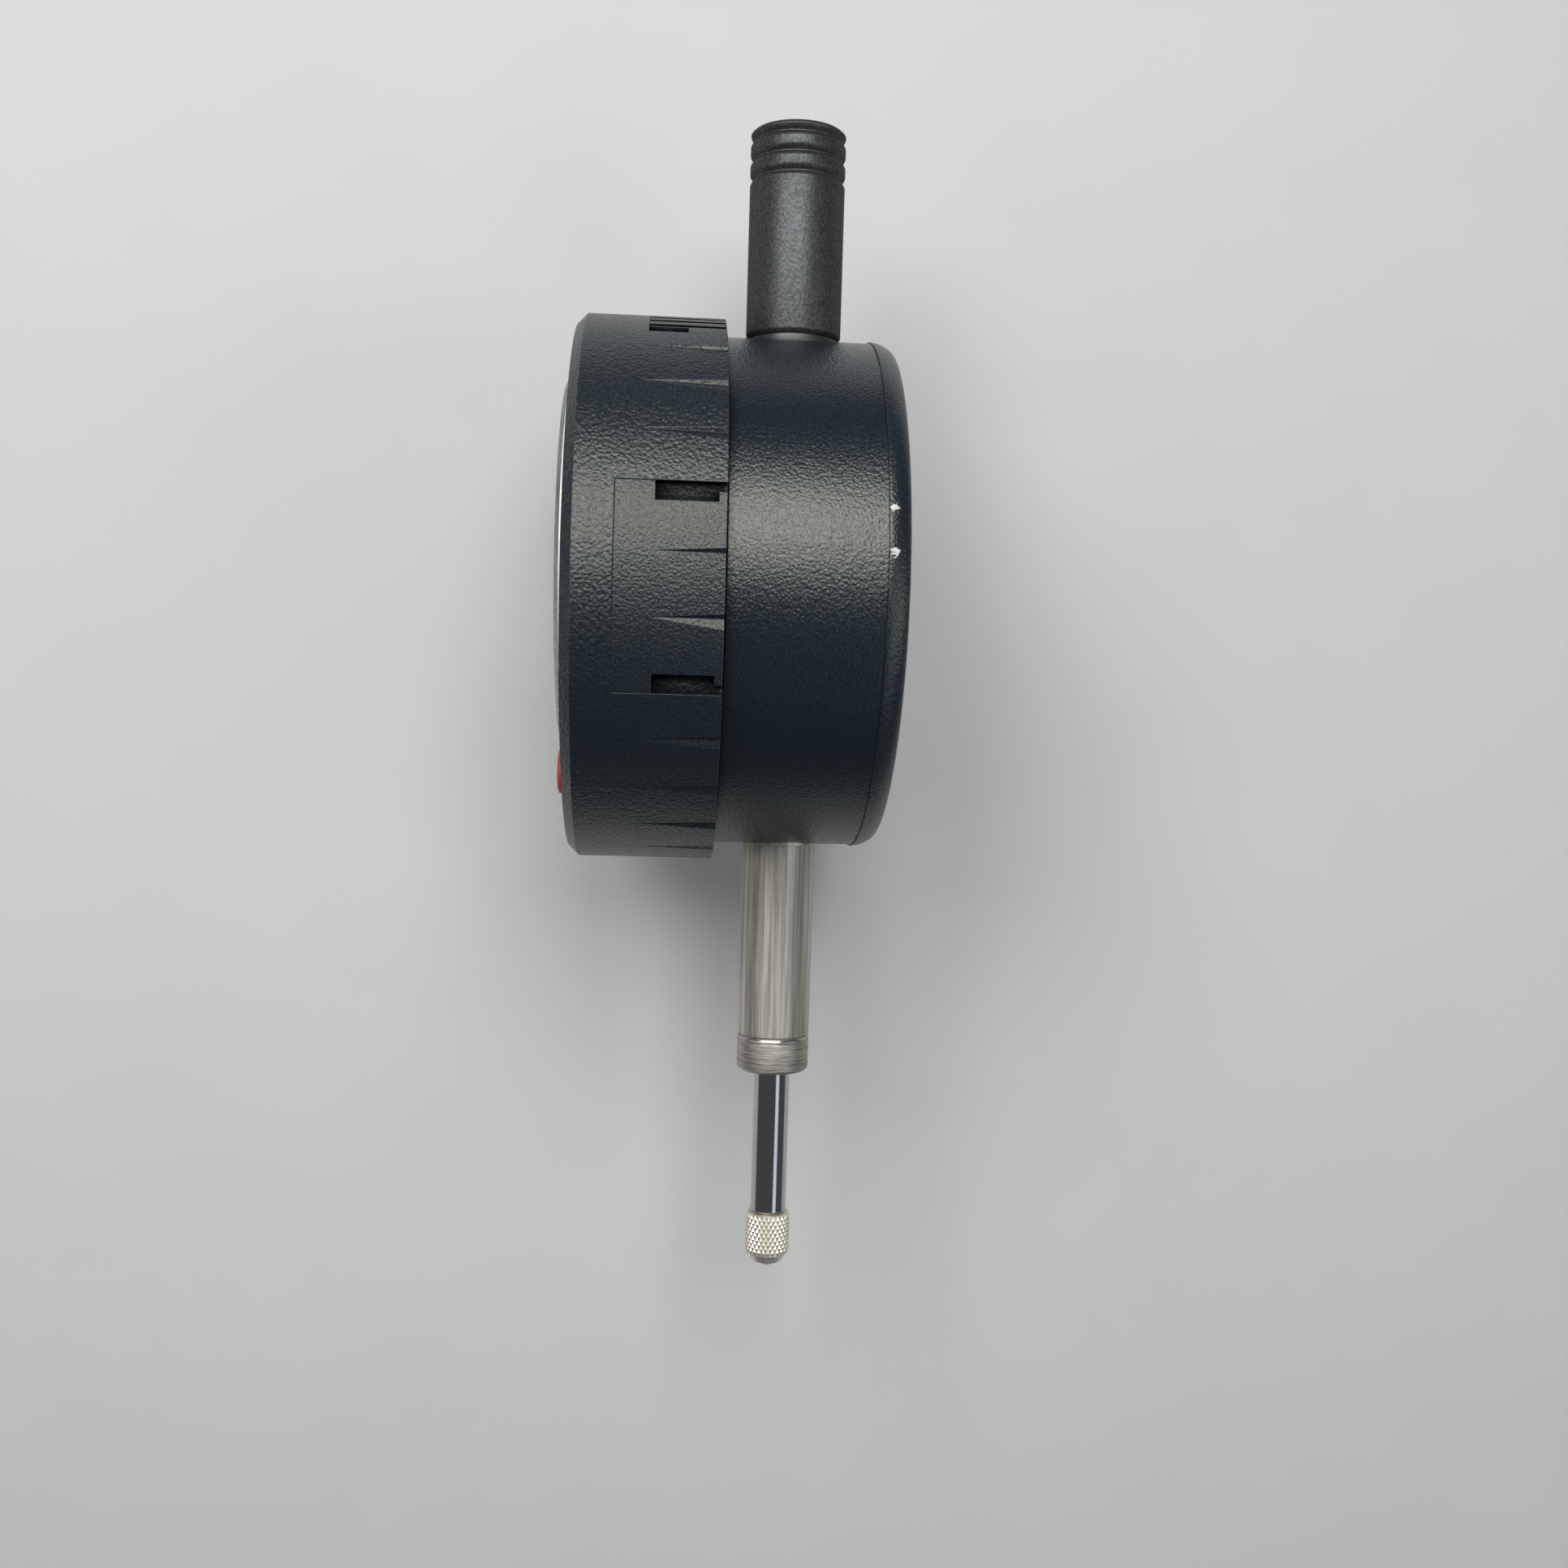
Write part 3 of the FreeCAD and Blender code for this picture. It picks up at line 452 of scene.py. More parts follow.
def anodised(name, colour):
    """Turned aluminium with a black anodised skin: satin, with sparkling specks and bright rubbed edges."""
    material, tree = blank(name)
    rings = add(tree, "ShaderNodeTexNoise", {
        "Vector": places_on(tree, (25 * MM, 25 * MM, MM / 9)), "Scale": 1.0, "Detail": 3.0}).outputs["Fac"]
    specks = add(tree, "ShaderNodeTexNoise", {
        "Vector": places_on(tree, (MM / 3.6,) * 3), "Scale": 1.0, "Detail": 2.0}).outputs["Fac"]
    grit = add(tree, "ShaderNodeMath", {0: rings, 1: specks}, operation="ADD")
    rounded = add(tree, "ShaderNodeBevel", {"Radius": 0.1 * MM}, samples=6)
    bump = add(tree, "ShaderNodeBump", {"Strength": 0.5, "Distance": 0.05 * MM, "Height": grit.outputs[0],
                                        "Normal": rounded.outputs[0]})
    worn = worn_edge(tree, 0.15 * MM)
    rub = add(tree, "ShaderNodeMath", {0: worn, 1: 0.5}, operation="MULTIPLY").outputs[0]
    sparkle = add(tree, "ShaderNodeMapRange", {0: specks, 1: 0.38, 2: 0.62}).outputs[0]
    skin = add(tree, "ShaderNodeMix", {0: sparkle, 6: shaded(colour, 0.72), 7: shaded(colour, 1.25)},
               data_type="RGBA").outputs[2]
    tone = add(tree, "ShaderNodeMix", {0: rub, 6: skin, 7: linear("#a9abac")}, data_type="RGBA").outputs[2]
    close(tree, add(tree, "ShaderNodeBsdfPrincipled", {
        "Base Color": tone, "Metallic": 0.75, "Roughness": 0.44, "Specular Tint": linear("#a0a0a0"),
        "Normal": bump.outputs[0]}))
    return material


def plain_plastic(name, colour, roughness, coat=0.0):
    """Smooth moulded plastic, with a faint unevenness that keeps its highlight from being perfect."""
    material, tree = blank(name)
    waves = add(tree, "ShaderNodeTexNoise", {
        "Vector": places_on(tree, (MM / 0.9,) * 3), "Scale": 1.0, "Detail": 3.0}).outputs["Fac"]
    rounded = add(tree, "ShaderNodeBevel", {"Radius": 0.1 * MM}, samples=4)
    bump = add(tree, "ShaderNodeBump", {"Strength": 0.3, "Distance": 0.004 * MM, "Height": waves,
                                        "Normal": rounded.outputs[0]})
    tone = add(tree, "ShaderNodeMapRange", {0: waves, 1: 0.3, 2: 0.7}).outputs[0]
    clouded = add(tree, "ShaderNodeMix", {0: tone, 6: shaded(colour, 0.9), 7: colour},
                  data_type="RGBA").outputs[2]
    close(tree, add(tree, "ShaderNodeBsdfPrincipled", {
        "Base Color": clouded, "Roughness": roughness, "Coat Weight": coat, "Coat Roughness": 0.15,
        "Normal": bump.outputs[0]}))
    return material


def clear_acrylic(name):
    """Moulded acrylic: clear through its face, milky where light runs along its edge."""
    material, tree = blank(name)
    flat = add(tree, "ShaderNodeNewGeometry")
    sideways = add(tree, "ShaderNodeSeparateXYZ", {0: flat.outputs["True Normal"]}).outputs["Y"]
    facing = add(tree, "ShaderNodeMath", {0: sideways}, operation="ABSOLUTE").outputs[0]
    rim = add(tree, "ShaderNodeMapRange", {0: facing, 1: 0.35, 2: 0.05, 3: 0.0, 4: 1.0}).outputs[0]
    dust = add(tree, "ShaderNodeTexNoise", {
        "Vector": places_on(tree, (0.4 * MM,) * 3), "Scale": 1.0, "Detail": 3.0}).outputs["Fac"]
    shine = add(tree, "ShaderNodeMapRange", {0: dust, 1: 0.4, 2: 0.7, 3: 0.02, 4: 0.06}).outputs[0]
    clear = add(tree, "ShaderNodeBsdfPrincipled", {
        "Base Color": linear("#f4f7f5"), "Roughness": shine, "IOR": 1.49, "Transmission Weight": 1.0})
    milky = add(tree, "ShaderNodeBsdfPrincipled", {"Base Color": linear("#f4f6f4"), "Roughness": 0.3})
    close(tree, add(tree, "ShaderNodeMixShader", {0: rim, 1: clear.outputs[0], 2: milky.outputs[0]}))
    return material


def circuit_board(name):
    """Fibreglass board under green solder resist, with paler copper tracks showing through."""
    material, tree = blank(name)
    tracks = add(tree, "ShaderNodeTexBrick", {
        "Vector": places_on(tree, (MM / 0.9,) * 3), "Scale": 1.0, "Mortar Size": 0.09, "Brick Width": 3.0,
        "Row Height": 0.6, "Color1": linear("#124a2a"), "Color2": linear("#0f4024"),
        "Mortar": linear("#2b7446")})
    close(tree, add(tree, "ShaderNodeBsdfPrincipled", {
        "Base Color": tracks.outputs["Color"], "Roughness": 0.35, "Coat Weight": 0.3}))
    return material


def painted_glint_places():
    """Places of two painted glints on the rear cover's edge, beside its seam."""
    centre, radius = middle("back_cover").z, high("back_cover").x
    seam = low("back_cover").y + 0.55 * MM
    return [(math.sqrt(radius ** 2 - above ** 2), seam, centre + above) for above in (2.9 * MM, 7.1 * MM)]


def finishes():
    """All materials, made once."""
    look = bpy.context.scene.indicator_finish
    nylon, steel, grain = tuple(look.plastic), tuple(look.steel), look.plastic_grain
    # Painted shade that reaches further, for the finger slots
    deep_shade = (2.4 * MM, 0.5, 0.85)
    makers = {
        # Coarsest pebble, which the lamp shows as a rough grey band, and painted shade in the finger slots
        "Head nylon": lambda n: moulded_plastic(n, nylon, grain, 0.054 * MM, 0.34, deep_shade),
        # Finer pebble, with a brighter band
        "Body nylon": lambda n: moulded_plastic(n, nylon, grain * 0.8, 0.032 * MM, 0.27),
        # The same, with two glints painted pale on its edge
        "Cover nylon": lambda n: moulded_plastic(n, nylon, grain * 0.8, 0.034 * MM, 0.3,
                                                 glint_places=painted_glint_places()),
        # Duller and flatter than the head round it, with the same painted shade in its slots
        "Tray nylon": lambda n: moulded_plastic(n, nylon, grain * 0.75, 0.042 * MM, 0.36, deep_shade),
        # Satin black over metal
        "Anodised aluminium": lambda n: anodised(n, tuple(look.cap)),
        # Long soft streaks up and down, as the grinding wheel leaves them
        "Ground steel": lambda n: turned_metal(n, steel, 0.5, 0.5 * MM, 0.42, (40, 40, 1), 0.6, 0.012 * MM,
                                               speckle=0.5),
        # Rings of the turning tool, with a bright lip
        "Turned steel": lambda n: turned_metal(n, linear("#bdbab0"), 0.5, 0.18 * MM, 0.5, (2, 2, 40), 0.4,
                                               0.008 * MM, speckle=0.6, lip=0.3),
        # A mirror that shows the dark room and one bright line
        "Polished steel": lambda n: turned_metal(n, linear("#bcbcbc"), 0.1, 0.05 * MM, 0.05),
        # Each tooth of the knurl catches the light by itself
        "Knurled steel": lambda n: turned_metal(n, linear("#f6f0e0"), 0.46, 0.1 * MM, 0.08),
        # Lapped ball, darker than steel
        "Carbide": lambda n: turned_metal(n, linear("#9b9c9e"), 0.16, 0.1 * MM, 0.05),
        # Warm bright plating, and a darker, rougher copy of it for the ring under the cap
        "Nickel plate": lambda n: turned_metal(n, linear("#c9c7bd"), 0.24, 0.05 * MM, 0.1),
        "Dull nickel": lambda n: turned_metal(n, linear("#545656"), 0.5, 0.05 * MM, 0.1),
        # Cool grey plating of bought screws
        "Zinc plate": lambda n: turned_metal(n, linear("#b9babb"), 0.32, 0.05 * MM, 0.1),
        # Drawn and rolled spring steel, faintly lined
        "Spring wire": lambda n: turned_metal(n, linear("#aeb0b2"), 0.25, 0.2 * MM, 0.1),
        # Cutter marks across the bracket
        "Milled aluminium": lambda n: turned_metal(n, linear("#c4c6c8"), 0.35, 0.2 * MM, 0.15, (40, 1, 1)),
        # Soft pieces without a highlight
        "Black rubber": lambda n: plain_plastic(n, linear("#1b1b1b"), 0.75),
        "Grey silicone": lambda n: plain_plastic(n, linear("#9c9e9d"), 0.6),
        # Painted panel of the face, with a soft sheen
        "Silver panel": lambda n: plain_plastic(n, tuple(look.panel), 0.38),
        # Moulded pieces inside, and the print behind the window
        "Black polymer": lambda n: plain_plastic(n, linear("#161718"), 0.45),
        # Caps of the buttons
        "Grey button": lambda n: plain_plastic(n, linear("#33383c"), 0.42),
        "Red button": lambda n: plain_plastic(n, tuple(look.red), 0.4),
        # Greenish grey of a display with no light of its own, and its dark segments
        "Display glass": lambda n: plain_plastic(n, linear("#9fa898"), 0.3, 0.4),
        "Display digit": lambda n: plain_plastic(n, linear("#14171a"), 0.5),
        # Amber and grey films with a glossy face
        "Polyimide film": lambda n: plain_plastic(n, linear("#a8621e"), 0.3, 0.3),
        "Scale film": lambda n: plain_plastic(n, linear("#8f8562"), 0.25, 0.4),
        "Clear acrylic": clear_acrylic,
        "Circuit board": circuit_board,
    }
    return {name: bpy.data.materials.get(name) or maker(name) for name, maker in makers.items()}


# Pieces


class INDICATOR_OT_shells(bpy.types.Operator):
    """Gives the moulded head, body, tray and port cover their grain"""
    bl_idname = "indicator.shells"
    bl_label = "Moulded shells"

    def execute(self, context):
        finish = finishes()
        for node, name in (("head_shell", "Head nylon"), ("body_case", "Body nylon"),
                           ("battery_tray", "Tray nylon"), ("port_cover", "Tray nylon")):
            paint(node, finish[name])
        return {"FINISHED"}


class INDICATOR_OT_dust_cap(bpy.types.Operator):
    """Makes the dust cap, with its turned grooves, and the bright ring under it"""
    bl_idname = "indicator.dust_cap"
    bl_label = "Dust cap"

    def execute(self, context):
        shape = context.scene.indicator_shape
        finish = finishes()
        foot, top = low("dust_cap").z, high("dust_cap").z
        radius = high("dust_cap").x
        bore = 4.33 * MM
        roof = top - 1.5 * MM
        half_width, deep = 0.62 * MM, 0.46 * MM
        slope = [half_width * (1 - step / 6) for step in range(7)]
        flank = [(radius - deep * (1 - away / half_width) ** 1.5, away) for away in slope]
        outline = [(bore, foot), (radius - 0.36 * MM, foot), (radius, foot + 0.45 * MM)]
        for i in (2, 1, 0):
            z = top - 1.05 * MM - i * shape.groove_pitch
            outline += [(r, z - away) for r, away in flank]
            outline += [(r, z + away) for r, away in reversed(flank[:-1])]
        outline += [(radius, top - 0.35 * MM), (radius - 0.4 * MM, top), (0, top), (0, roof), (bore, roof),
                    (bore, foot)]
        cap = turned("dust_cap_turned", outline)
        smooth(break_edges(cap, shape.edge, 2), 40)
        dress(cap, finish["Anodised aluminium"], "case", "anodised_black", "dust_cap")

        ring_low, ring_high = low("upper_bush"), high("upper_bush")
        bore = high("spindle").x + 0.03 * MM
        flange = foot - 0.96 * MM
        shank, spigot = 3.6 * MM, 4.3 * MM
        bush = turned("upper_bush_turned", [
            (bore, ring_low.z), (shank, ring_low.z), (shank, flange), (ring_high.x, flange),
            (ring_high.x, foot), (spigot, foot), (spigot, ring_high.z), (bore, ring_high.z),
            (bore, ring_low.z)])
        smooth(break_edges(bush, shape.edge * 0.7, 2))
        dress(bush, finish["Dull nickel"], "case", "nickel_brass", "upper_bush")
        return {"FINISHED"}


class INDICATOR_OT_stem(bpy.types.Operator):
    """Makes the ground stem and the turned bush in its end"""
    bl_idname = "indicator.stem"
    bl_label = "Stem and bush"

    def execute(self, context):
        shape = context.scene.indicator_shape
        finish = finishes()
        end, top = low("stem").z, high("stem").z
        seat_r = high("stem").x
        stem_r = high("lower_bush").x
        bore = stem_r * 0.75
        chamfer = 0.14 * MM
        stem = turned("stem_ground", [
            (bore, end), (stem_r - chamfer, end), (stem_r, end + chamfer), (stem_r, -end), (seat_r, -end),
            (seat_r, top), (bore, top), (bore, end)])
        smooth(break_edges(stem, shape.edge * 0.4, 2))
        dress(stem, finish["Ground steel"], "case", "ground_steel", "stem")

        foot, sleeve_top = low("lower_bush").z, high("lower_bush").z
        rod = high("spindle").x + 0.03 * MM
        shoulder, inward, score = 0.5 * MM, 0.36 * MM, 0.08 * MM
        outline = [(rod + 0.25 * MM, foot), (stem_r - 0.3 * MM, foot), (stem_r, foot + 0.3 * MM)]
        line = end - shoulder - 0.16 * MM
        outline += [(stem_r, line), (stem_r - score, line + 0.05 * MM), (stem_r - score, line + 0.1 * MM)]
        for i in range(11):
            angle = math.pi / 2 * i / 10
            r = stem_r - 0.02 * MM - inward * (1 - math.cos(angle))
            outline.append((r, end - shoulder * (1 - math.sin(angle))))
        outline += [(bore, end), (bore, sleeve_top), (rod, sleeve_top), (rod, foot + 0.25 * MM),
                    (rod + 0.25 * MM, foot)]
        bush = turned("lower_bush_turned", outline)
        smooth(break_edges(bush, shape.edge * 0.4, 2))
        dress(bush, finish["Turned steel"], "case", "ground_steel", "lower_bush")
        return {"FINISHED"}


class INDICATOR_OT_spindle(bpy.types.Operator):
    """Makes the polished spindle and the knurled contact point, and finishes what they carry"""
    bl_idname = "indicator.spindle"
    bl_label = "Spindle and contact"

    def execute(self, context):
        shape = context.scene.indicator_shape
        finish = finishes()
        radius, end, top = high("spindle").x, low("spindle").z, high("spindle").z
        hole = high("contact_point").z + 0.3 * MM
        stud = 1.2 * MM
        rod = turned("spindle_rod", [
            (stud, end), (radius - 0.3 * MM, end), (radius, end + 0.3 * MM), (radius, top - 0.4 * MM),
            (radius - 0.4 * MM, top), (0, top), (0, hole), (stud, hole), (stud, end)])
        smooth(break_edges(rod, shape.edge * 0.5, 2))
        dress(rod, finish["Polished steel"], "spindle", "polished_steel", "spindle")

        contact = self.contact_point(end, stud, shape)
        dress(contact, finish["Knurled steel"], "spindle", "knurled_steel", "contact_point")
        paint("contact_tip", finish["Carbide"])
        paint("spindle_bracket", finish["Milled aluminium"])
        paint("bracket_screws", finish["Zinc plate"])
        paint("scale_strip", finish["Scale film"])
        paint("guide_pin", finish["Nickel plate"])
        return {"FINISHED"}

    def contact_point(self, end, stud, shape):
        """Contact point with rows of diamond teeth, raised from every second corner of its wall."""
        radius = high("contact_point").x
        foot = low("contact_point").z
        nose_top = foot + 0.75 * MM
        knurl_low, knurl_high = nose_top + 0.1 * MM, end - 0.05 * MM
        core = radius - shape.knurl_depth
        tip_r = high("contact_tip").x
        rows = 2 * round((knurl_high - knurl_low) / shape.knurl_pitch)
        wall = [(core, knurl_low + (knurl_high - knurl_low) * i / rows) for i in range(rows + 1)]
        outline = [(0, foot + 0.4 * MM), (tip_r + 0.02 * MM, foot), (1.8 * MM, foot), (2.1 * MM, nose_top)]
        outline += wall + [(core - 0.1 * MM, end), (stud, end), (stud, end + 5 * MM), (0, end + 5 * MM)]
        piece = turned("contact_point_knurled", outline, steps=2 * shape.knurl_count)
        step = math.pi / shape.knurl_count
        pitch = (knurl_high - knurl_low) / rows
        bpy.ops.object.mode_set(mode="EDIT")
        bpy.ops.mesh.select_all(action="DESELECT")
        bpy.ops.object.mode_set(mode="OBJECT")
        for vertex in piece.data.vertices:
            column = round(math.atan2(vertex.co.y, vertex.co.x) / step)
            row = round((vertex.co.z - knurl_low) / pitch)
            on_wall = abs(math.hypot(vertex.co.x, vertex.co.y) - core) < 0.01 * MM and 0 < row < rows
            vertex.select = on_wall and (row + column) % 2 == 1
        bpy.ops.object.mode_set(mode="EDIT")
        bpy.ops.mesh.select_mode(type="VERT")
        scale = radius / core
        bpy.ops.transform.resize(value=(scale, scale, 1), center_override=(0, 0, 0))
        bpy.ops.mesh.select_all(action="SELECT")
        bpy.ops.mesh.quads_convert_to_tris(quad_method="SHORTEST_DIAGONAL")
        bpy.ops.object.mode_set(mode="OBJECT")
        return smooth(piece, 20)


class INDICATOR_OT_back_cover(bpy.types.Operator):
    """Makes the rear cover with its rounded edge, and the countersunk screws in it"""
    bl_idname = "indicator.back_cover"
    bl_label = "Rear cover"

    def execute(self, context):
        finish = finishes()
        lowest, highest = low("back_cover"), high("back_cover")
        radius = highest.x
        centre = (0, 0, middle("back_cover").z)
        round_in, round_back, fullness = 1.1 * MM, 2.1 * MM, 2 / 1.6
        outline = [(0, lowest.y), (radius, lowest.y)]
        for i in range(13):
            angle = math.pi / 2 * i / 12
            inward, backward = 1 - math.cos(angle) ** fullness, 1 - math.sin(angle) ** fullness
            outline.append((radius - round_in * inward, highest.y - round_back * backward))
        outline.append((0, highest.y))
        cover = turned("back_cover_round", outline, centre, "Y")
        screw = self.screw()
        screw_circle, hole, sink_r, sink_depth = 22.4 * MM, MM, 1.95 * MM, 0.95 * MM
        screws = []
        for angle in (45, 135, 225, 315):
            x = screw_circle * math.cos(math.radians(angle))
            z = centre[2] + screw_circle * math.sin(math.radians(angle))
            place = (x, 0, z)
            sink = turned("sink", [
                (0, lowest.y - MM), (hole, lowest.y - MM), (hole, highest.y - sink_depth),
                (sink_r, highest.y), (sink_r, highest.y + MM), (0, highest.y + MM)], place, "Y", 48)
            cut_away(cover, sink)
            each = copied(screw, "screw")
            bpy.ops.transform.translate(value=place)
            screws.append(settle(each))
        bpy.data.objects.remove(screw)
        smooth(cover)
        dress(cover, finish["Cover nylon"], "case", "moulded_black", "back_cover")
        set_of_four = joined("cover_screws_countersunk", screws)
        dress(set_of_four, finish["Zinc plate"], "case", "zinc_steel", "back_cover_screws")
        return {"FINISHED"}

    def screw(self):
        """Countersunk screw with a cross recess, on the axis through the origin."""
        back = high("back_cover_screws").y
        head, shank = 1.82 * MM, 0.85 * MM
        end, neck = back - 6.9 * MM, back - 0.97 * MM
        screw = turned("screw_pattern", [(0, end), (shank, end), (shank, neck), (head, back), (0, back)],
                       (0, 0, 0), "Y", 48)
        narrow, wide, deep = 0.38 * MM, 2.1 * MM, 1.4 * MM
        for across, along in ((narrow, wide), (wide, narrow)):
            bpy.ops.object.select_all(action="DESELECT")
            bpy.ops.mesh.primitive_cube_add(size=1, location=(0, back, 0), scale=(across, deep, along))
            slot = settle(fresh("slot"))
            bpy.ops.object.mode_set(mode="EDIT")
            bpy.ops.mesh.select_all(action="SELECT")
            bpy.ops.mesh.bevel(offset=0.05 * MM, segments=1)
            bpy.ops.object.mode_set(mode="OBJECT")
            cut_away(screw, slot)
        return smooth(screw)


class INDICATOR_OT_face(bpy.types.Operator):
    """Makes the window, the display's digits and the buttons, and finishes the panel"""
    bl_idname = "indicator.face"
    bl_label = "Face"

    def execute(self, context):
        shape = context.scene.indicator_shape
        finish = finishes()
        lowest, highest = low("lens"), high("lens")
        centre = middle("lens")
        radius = highest.x
        window = turned("window", [
            (0, lowest.y), (radius - 0.4 * MM, lowest.y), (radius, lowest.y + 0.4 * MM), (radius, highest.y),
            (0, highest.y)], (0, 0, centre.z), "Y")
        smooth(break_edges(window, 0.1 * MM, 3))
        dress(window, finish["Clear acrylic"], "head", "clear_window", "lens")
        dress(self.mask(), finish["Black polymer"], "head", "inner_black")
        paint("face_plate", finish["Silver panel"])
        for node, name in (("button_left", "Grey button"), ("button_middle", "Grey button"),
                           ("button_right", "Red button")):
            self.button(node, finish[name])
        digits = self.digits(shape)
        dress(digits, finish["Display digit"], "head", "display_green")
        paint("lcd_glass", finish["Display glass"])
        return {"FINISHED"}

    def mask(self):
        """Dark print on the back of the window, with an opening for the display."""
        back, centre = high("lens"), middle("lens")
        glass, glass_centre = high("lcd_glass") - low("lcd_glass"), middle("lcd_glass")
        thick = 0.04 * MM
        bpy.ops.object.select_all(action="DESELECT")
        bpy.ops.mesh.primitive_cylinder_add(
            vertices=128, radius=back.x - 0.1 * MM, depth=thick,
            location=(0, back.y + 0.03 * MM, centre.z), rotation=(math.pi / 2, 0, 0))
        print_disc = settle(fresh("window_mask"))
        bpy.ops.object.select_all(action="DESELECT")
        bpy.ops.mesh.primitive_cube_add(size=1, location=(0, back.y, glass_centre.z),
                                        scale=(glass.x - 1.4 * MM, MM, glass.z - 1.4 * MM))
        return cut_away(print_disc, settle(fresh("opening")))

    def button(self, node, material):
        """Round button with a softly rounded and slightly hollow top."""
        lowest, highest = low(node), high(node)
        centre = middle(node)
        flange = (highest.x - lowest.x) / 2
        radius = flange - 0.55 * MM
        skirt = low("lens").y + 2.4 * MM
        top = lowest.y + 0.15 * MM
        piece = turned(node + "_cap", [
            (0, top + 0.12 * MM), (radius * 0.5, top + 0.06 * MM), (radius - 0.45 * MM, top),
            (radius - 0.12 * MM, top + 0.14 * MM), (radius, top + 0.45 * MM), (radius, skirt),
            (flange, skirt), (flange, highest.y), (0, highest.y)], (centre.x, 0, centre.z), "Y", 64)
        smooth(break_edges(piece, 0.05 * MM, 2), 50)
        slot = "button_red" if node == "button_right" else "button_grey"
        dress(piece, material, node, slot, node)

    def digits(self, shape):
        """Seven segment digits and the letters of the unit, on the front of the display."""
        glass_low, glass_high = low("lcd_glass"), high("lcd_glass")
        tall = shape.digit_height
        wide, stroke = tall * 0.52, tall * 0.11
        front = glass_low.y - 0.03 * MM
        base = (glass_low.z + glass_high.z) / 2 - tall / 2
        bars = []
        gap = 1.5 * MM
        segments = ((0.5, 1, True), (0.5, 0, True), (0, 0.25, False), (1, 0.25, False), (0, 0.75, False),
                    (1, 0.75, False))
        for index in range(4):
            left = glass_high.x - 6.5 * MM - (4 - index) * (wide + gap)
            for x, z, flat in segments:
                place = (left + wide * x, front, base + tall * z)
                bars.append(self.bar(place, wide if flat else tall / 2, stroke, flat))
            if index == 0:
                bars.append(self.bar((left + wide + gap / 2, front, base), stroke, stroke, True))
        thin, half = 0.22 * MM, 0.6 * MM
        for index in range(2):
            left = glass_high.x - 4.6 * MM + index * 1.9 * MM
            for x in (0, half, 2 * half):
                bars.append(self.bar((left + x, front, base + half), 2 * half, thin, False))
            bars.append(self.bar((left + half, front, base + 2 * half), 1.3 * MM, thin, True))
        return joined("display_digits", bars)

    def bar(self, place, length, stroke, flat):
        """One segment: a flat bar with pointed ends."""
        bpy.ops.object.select_all(action="DESELECT")
        bpy.ops.mesh.primitive_circle_add(vertices=6, radius=1, fill_type="NGON", location=(0, 0, 0),
                                          rotation=(math.pi / 2, 0 if flat else math.pi / 2, 0))
        piece = fresh("bar")
        settle(piece)
        half, thin = length / 2 * 0.94, stroke / 2 / 0.866
        bpy.ops.object.mode_set(mode="EDIT")
        bpy.ops.mesh.select_all(action="SELECT")
        size = (half, 1, thin) if flat else (thin, 1, half)
        bpy.ops.transform.resize(value=size, center_override=(0, 0, 0))
        bpy.ops.mesh.extrude_region_move(TRANSFORM_OT_translate={"value": (0, 0.02 * MM, 0)})
        bpy.ops.mesh.select_all(action="SELECT")
        bpy.ops.transform.translate(value=place)
        bpy.ops.mesh.normals_make_consistent(inside=False)
        bpy.ops.object.mode_set(mode="OBJECT")
        return piece


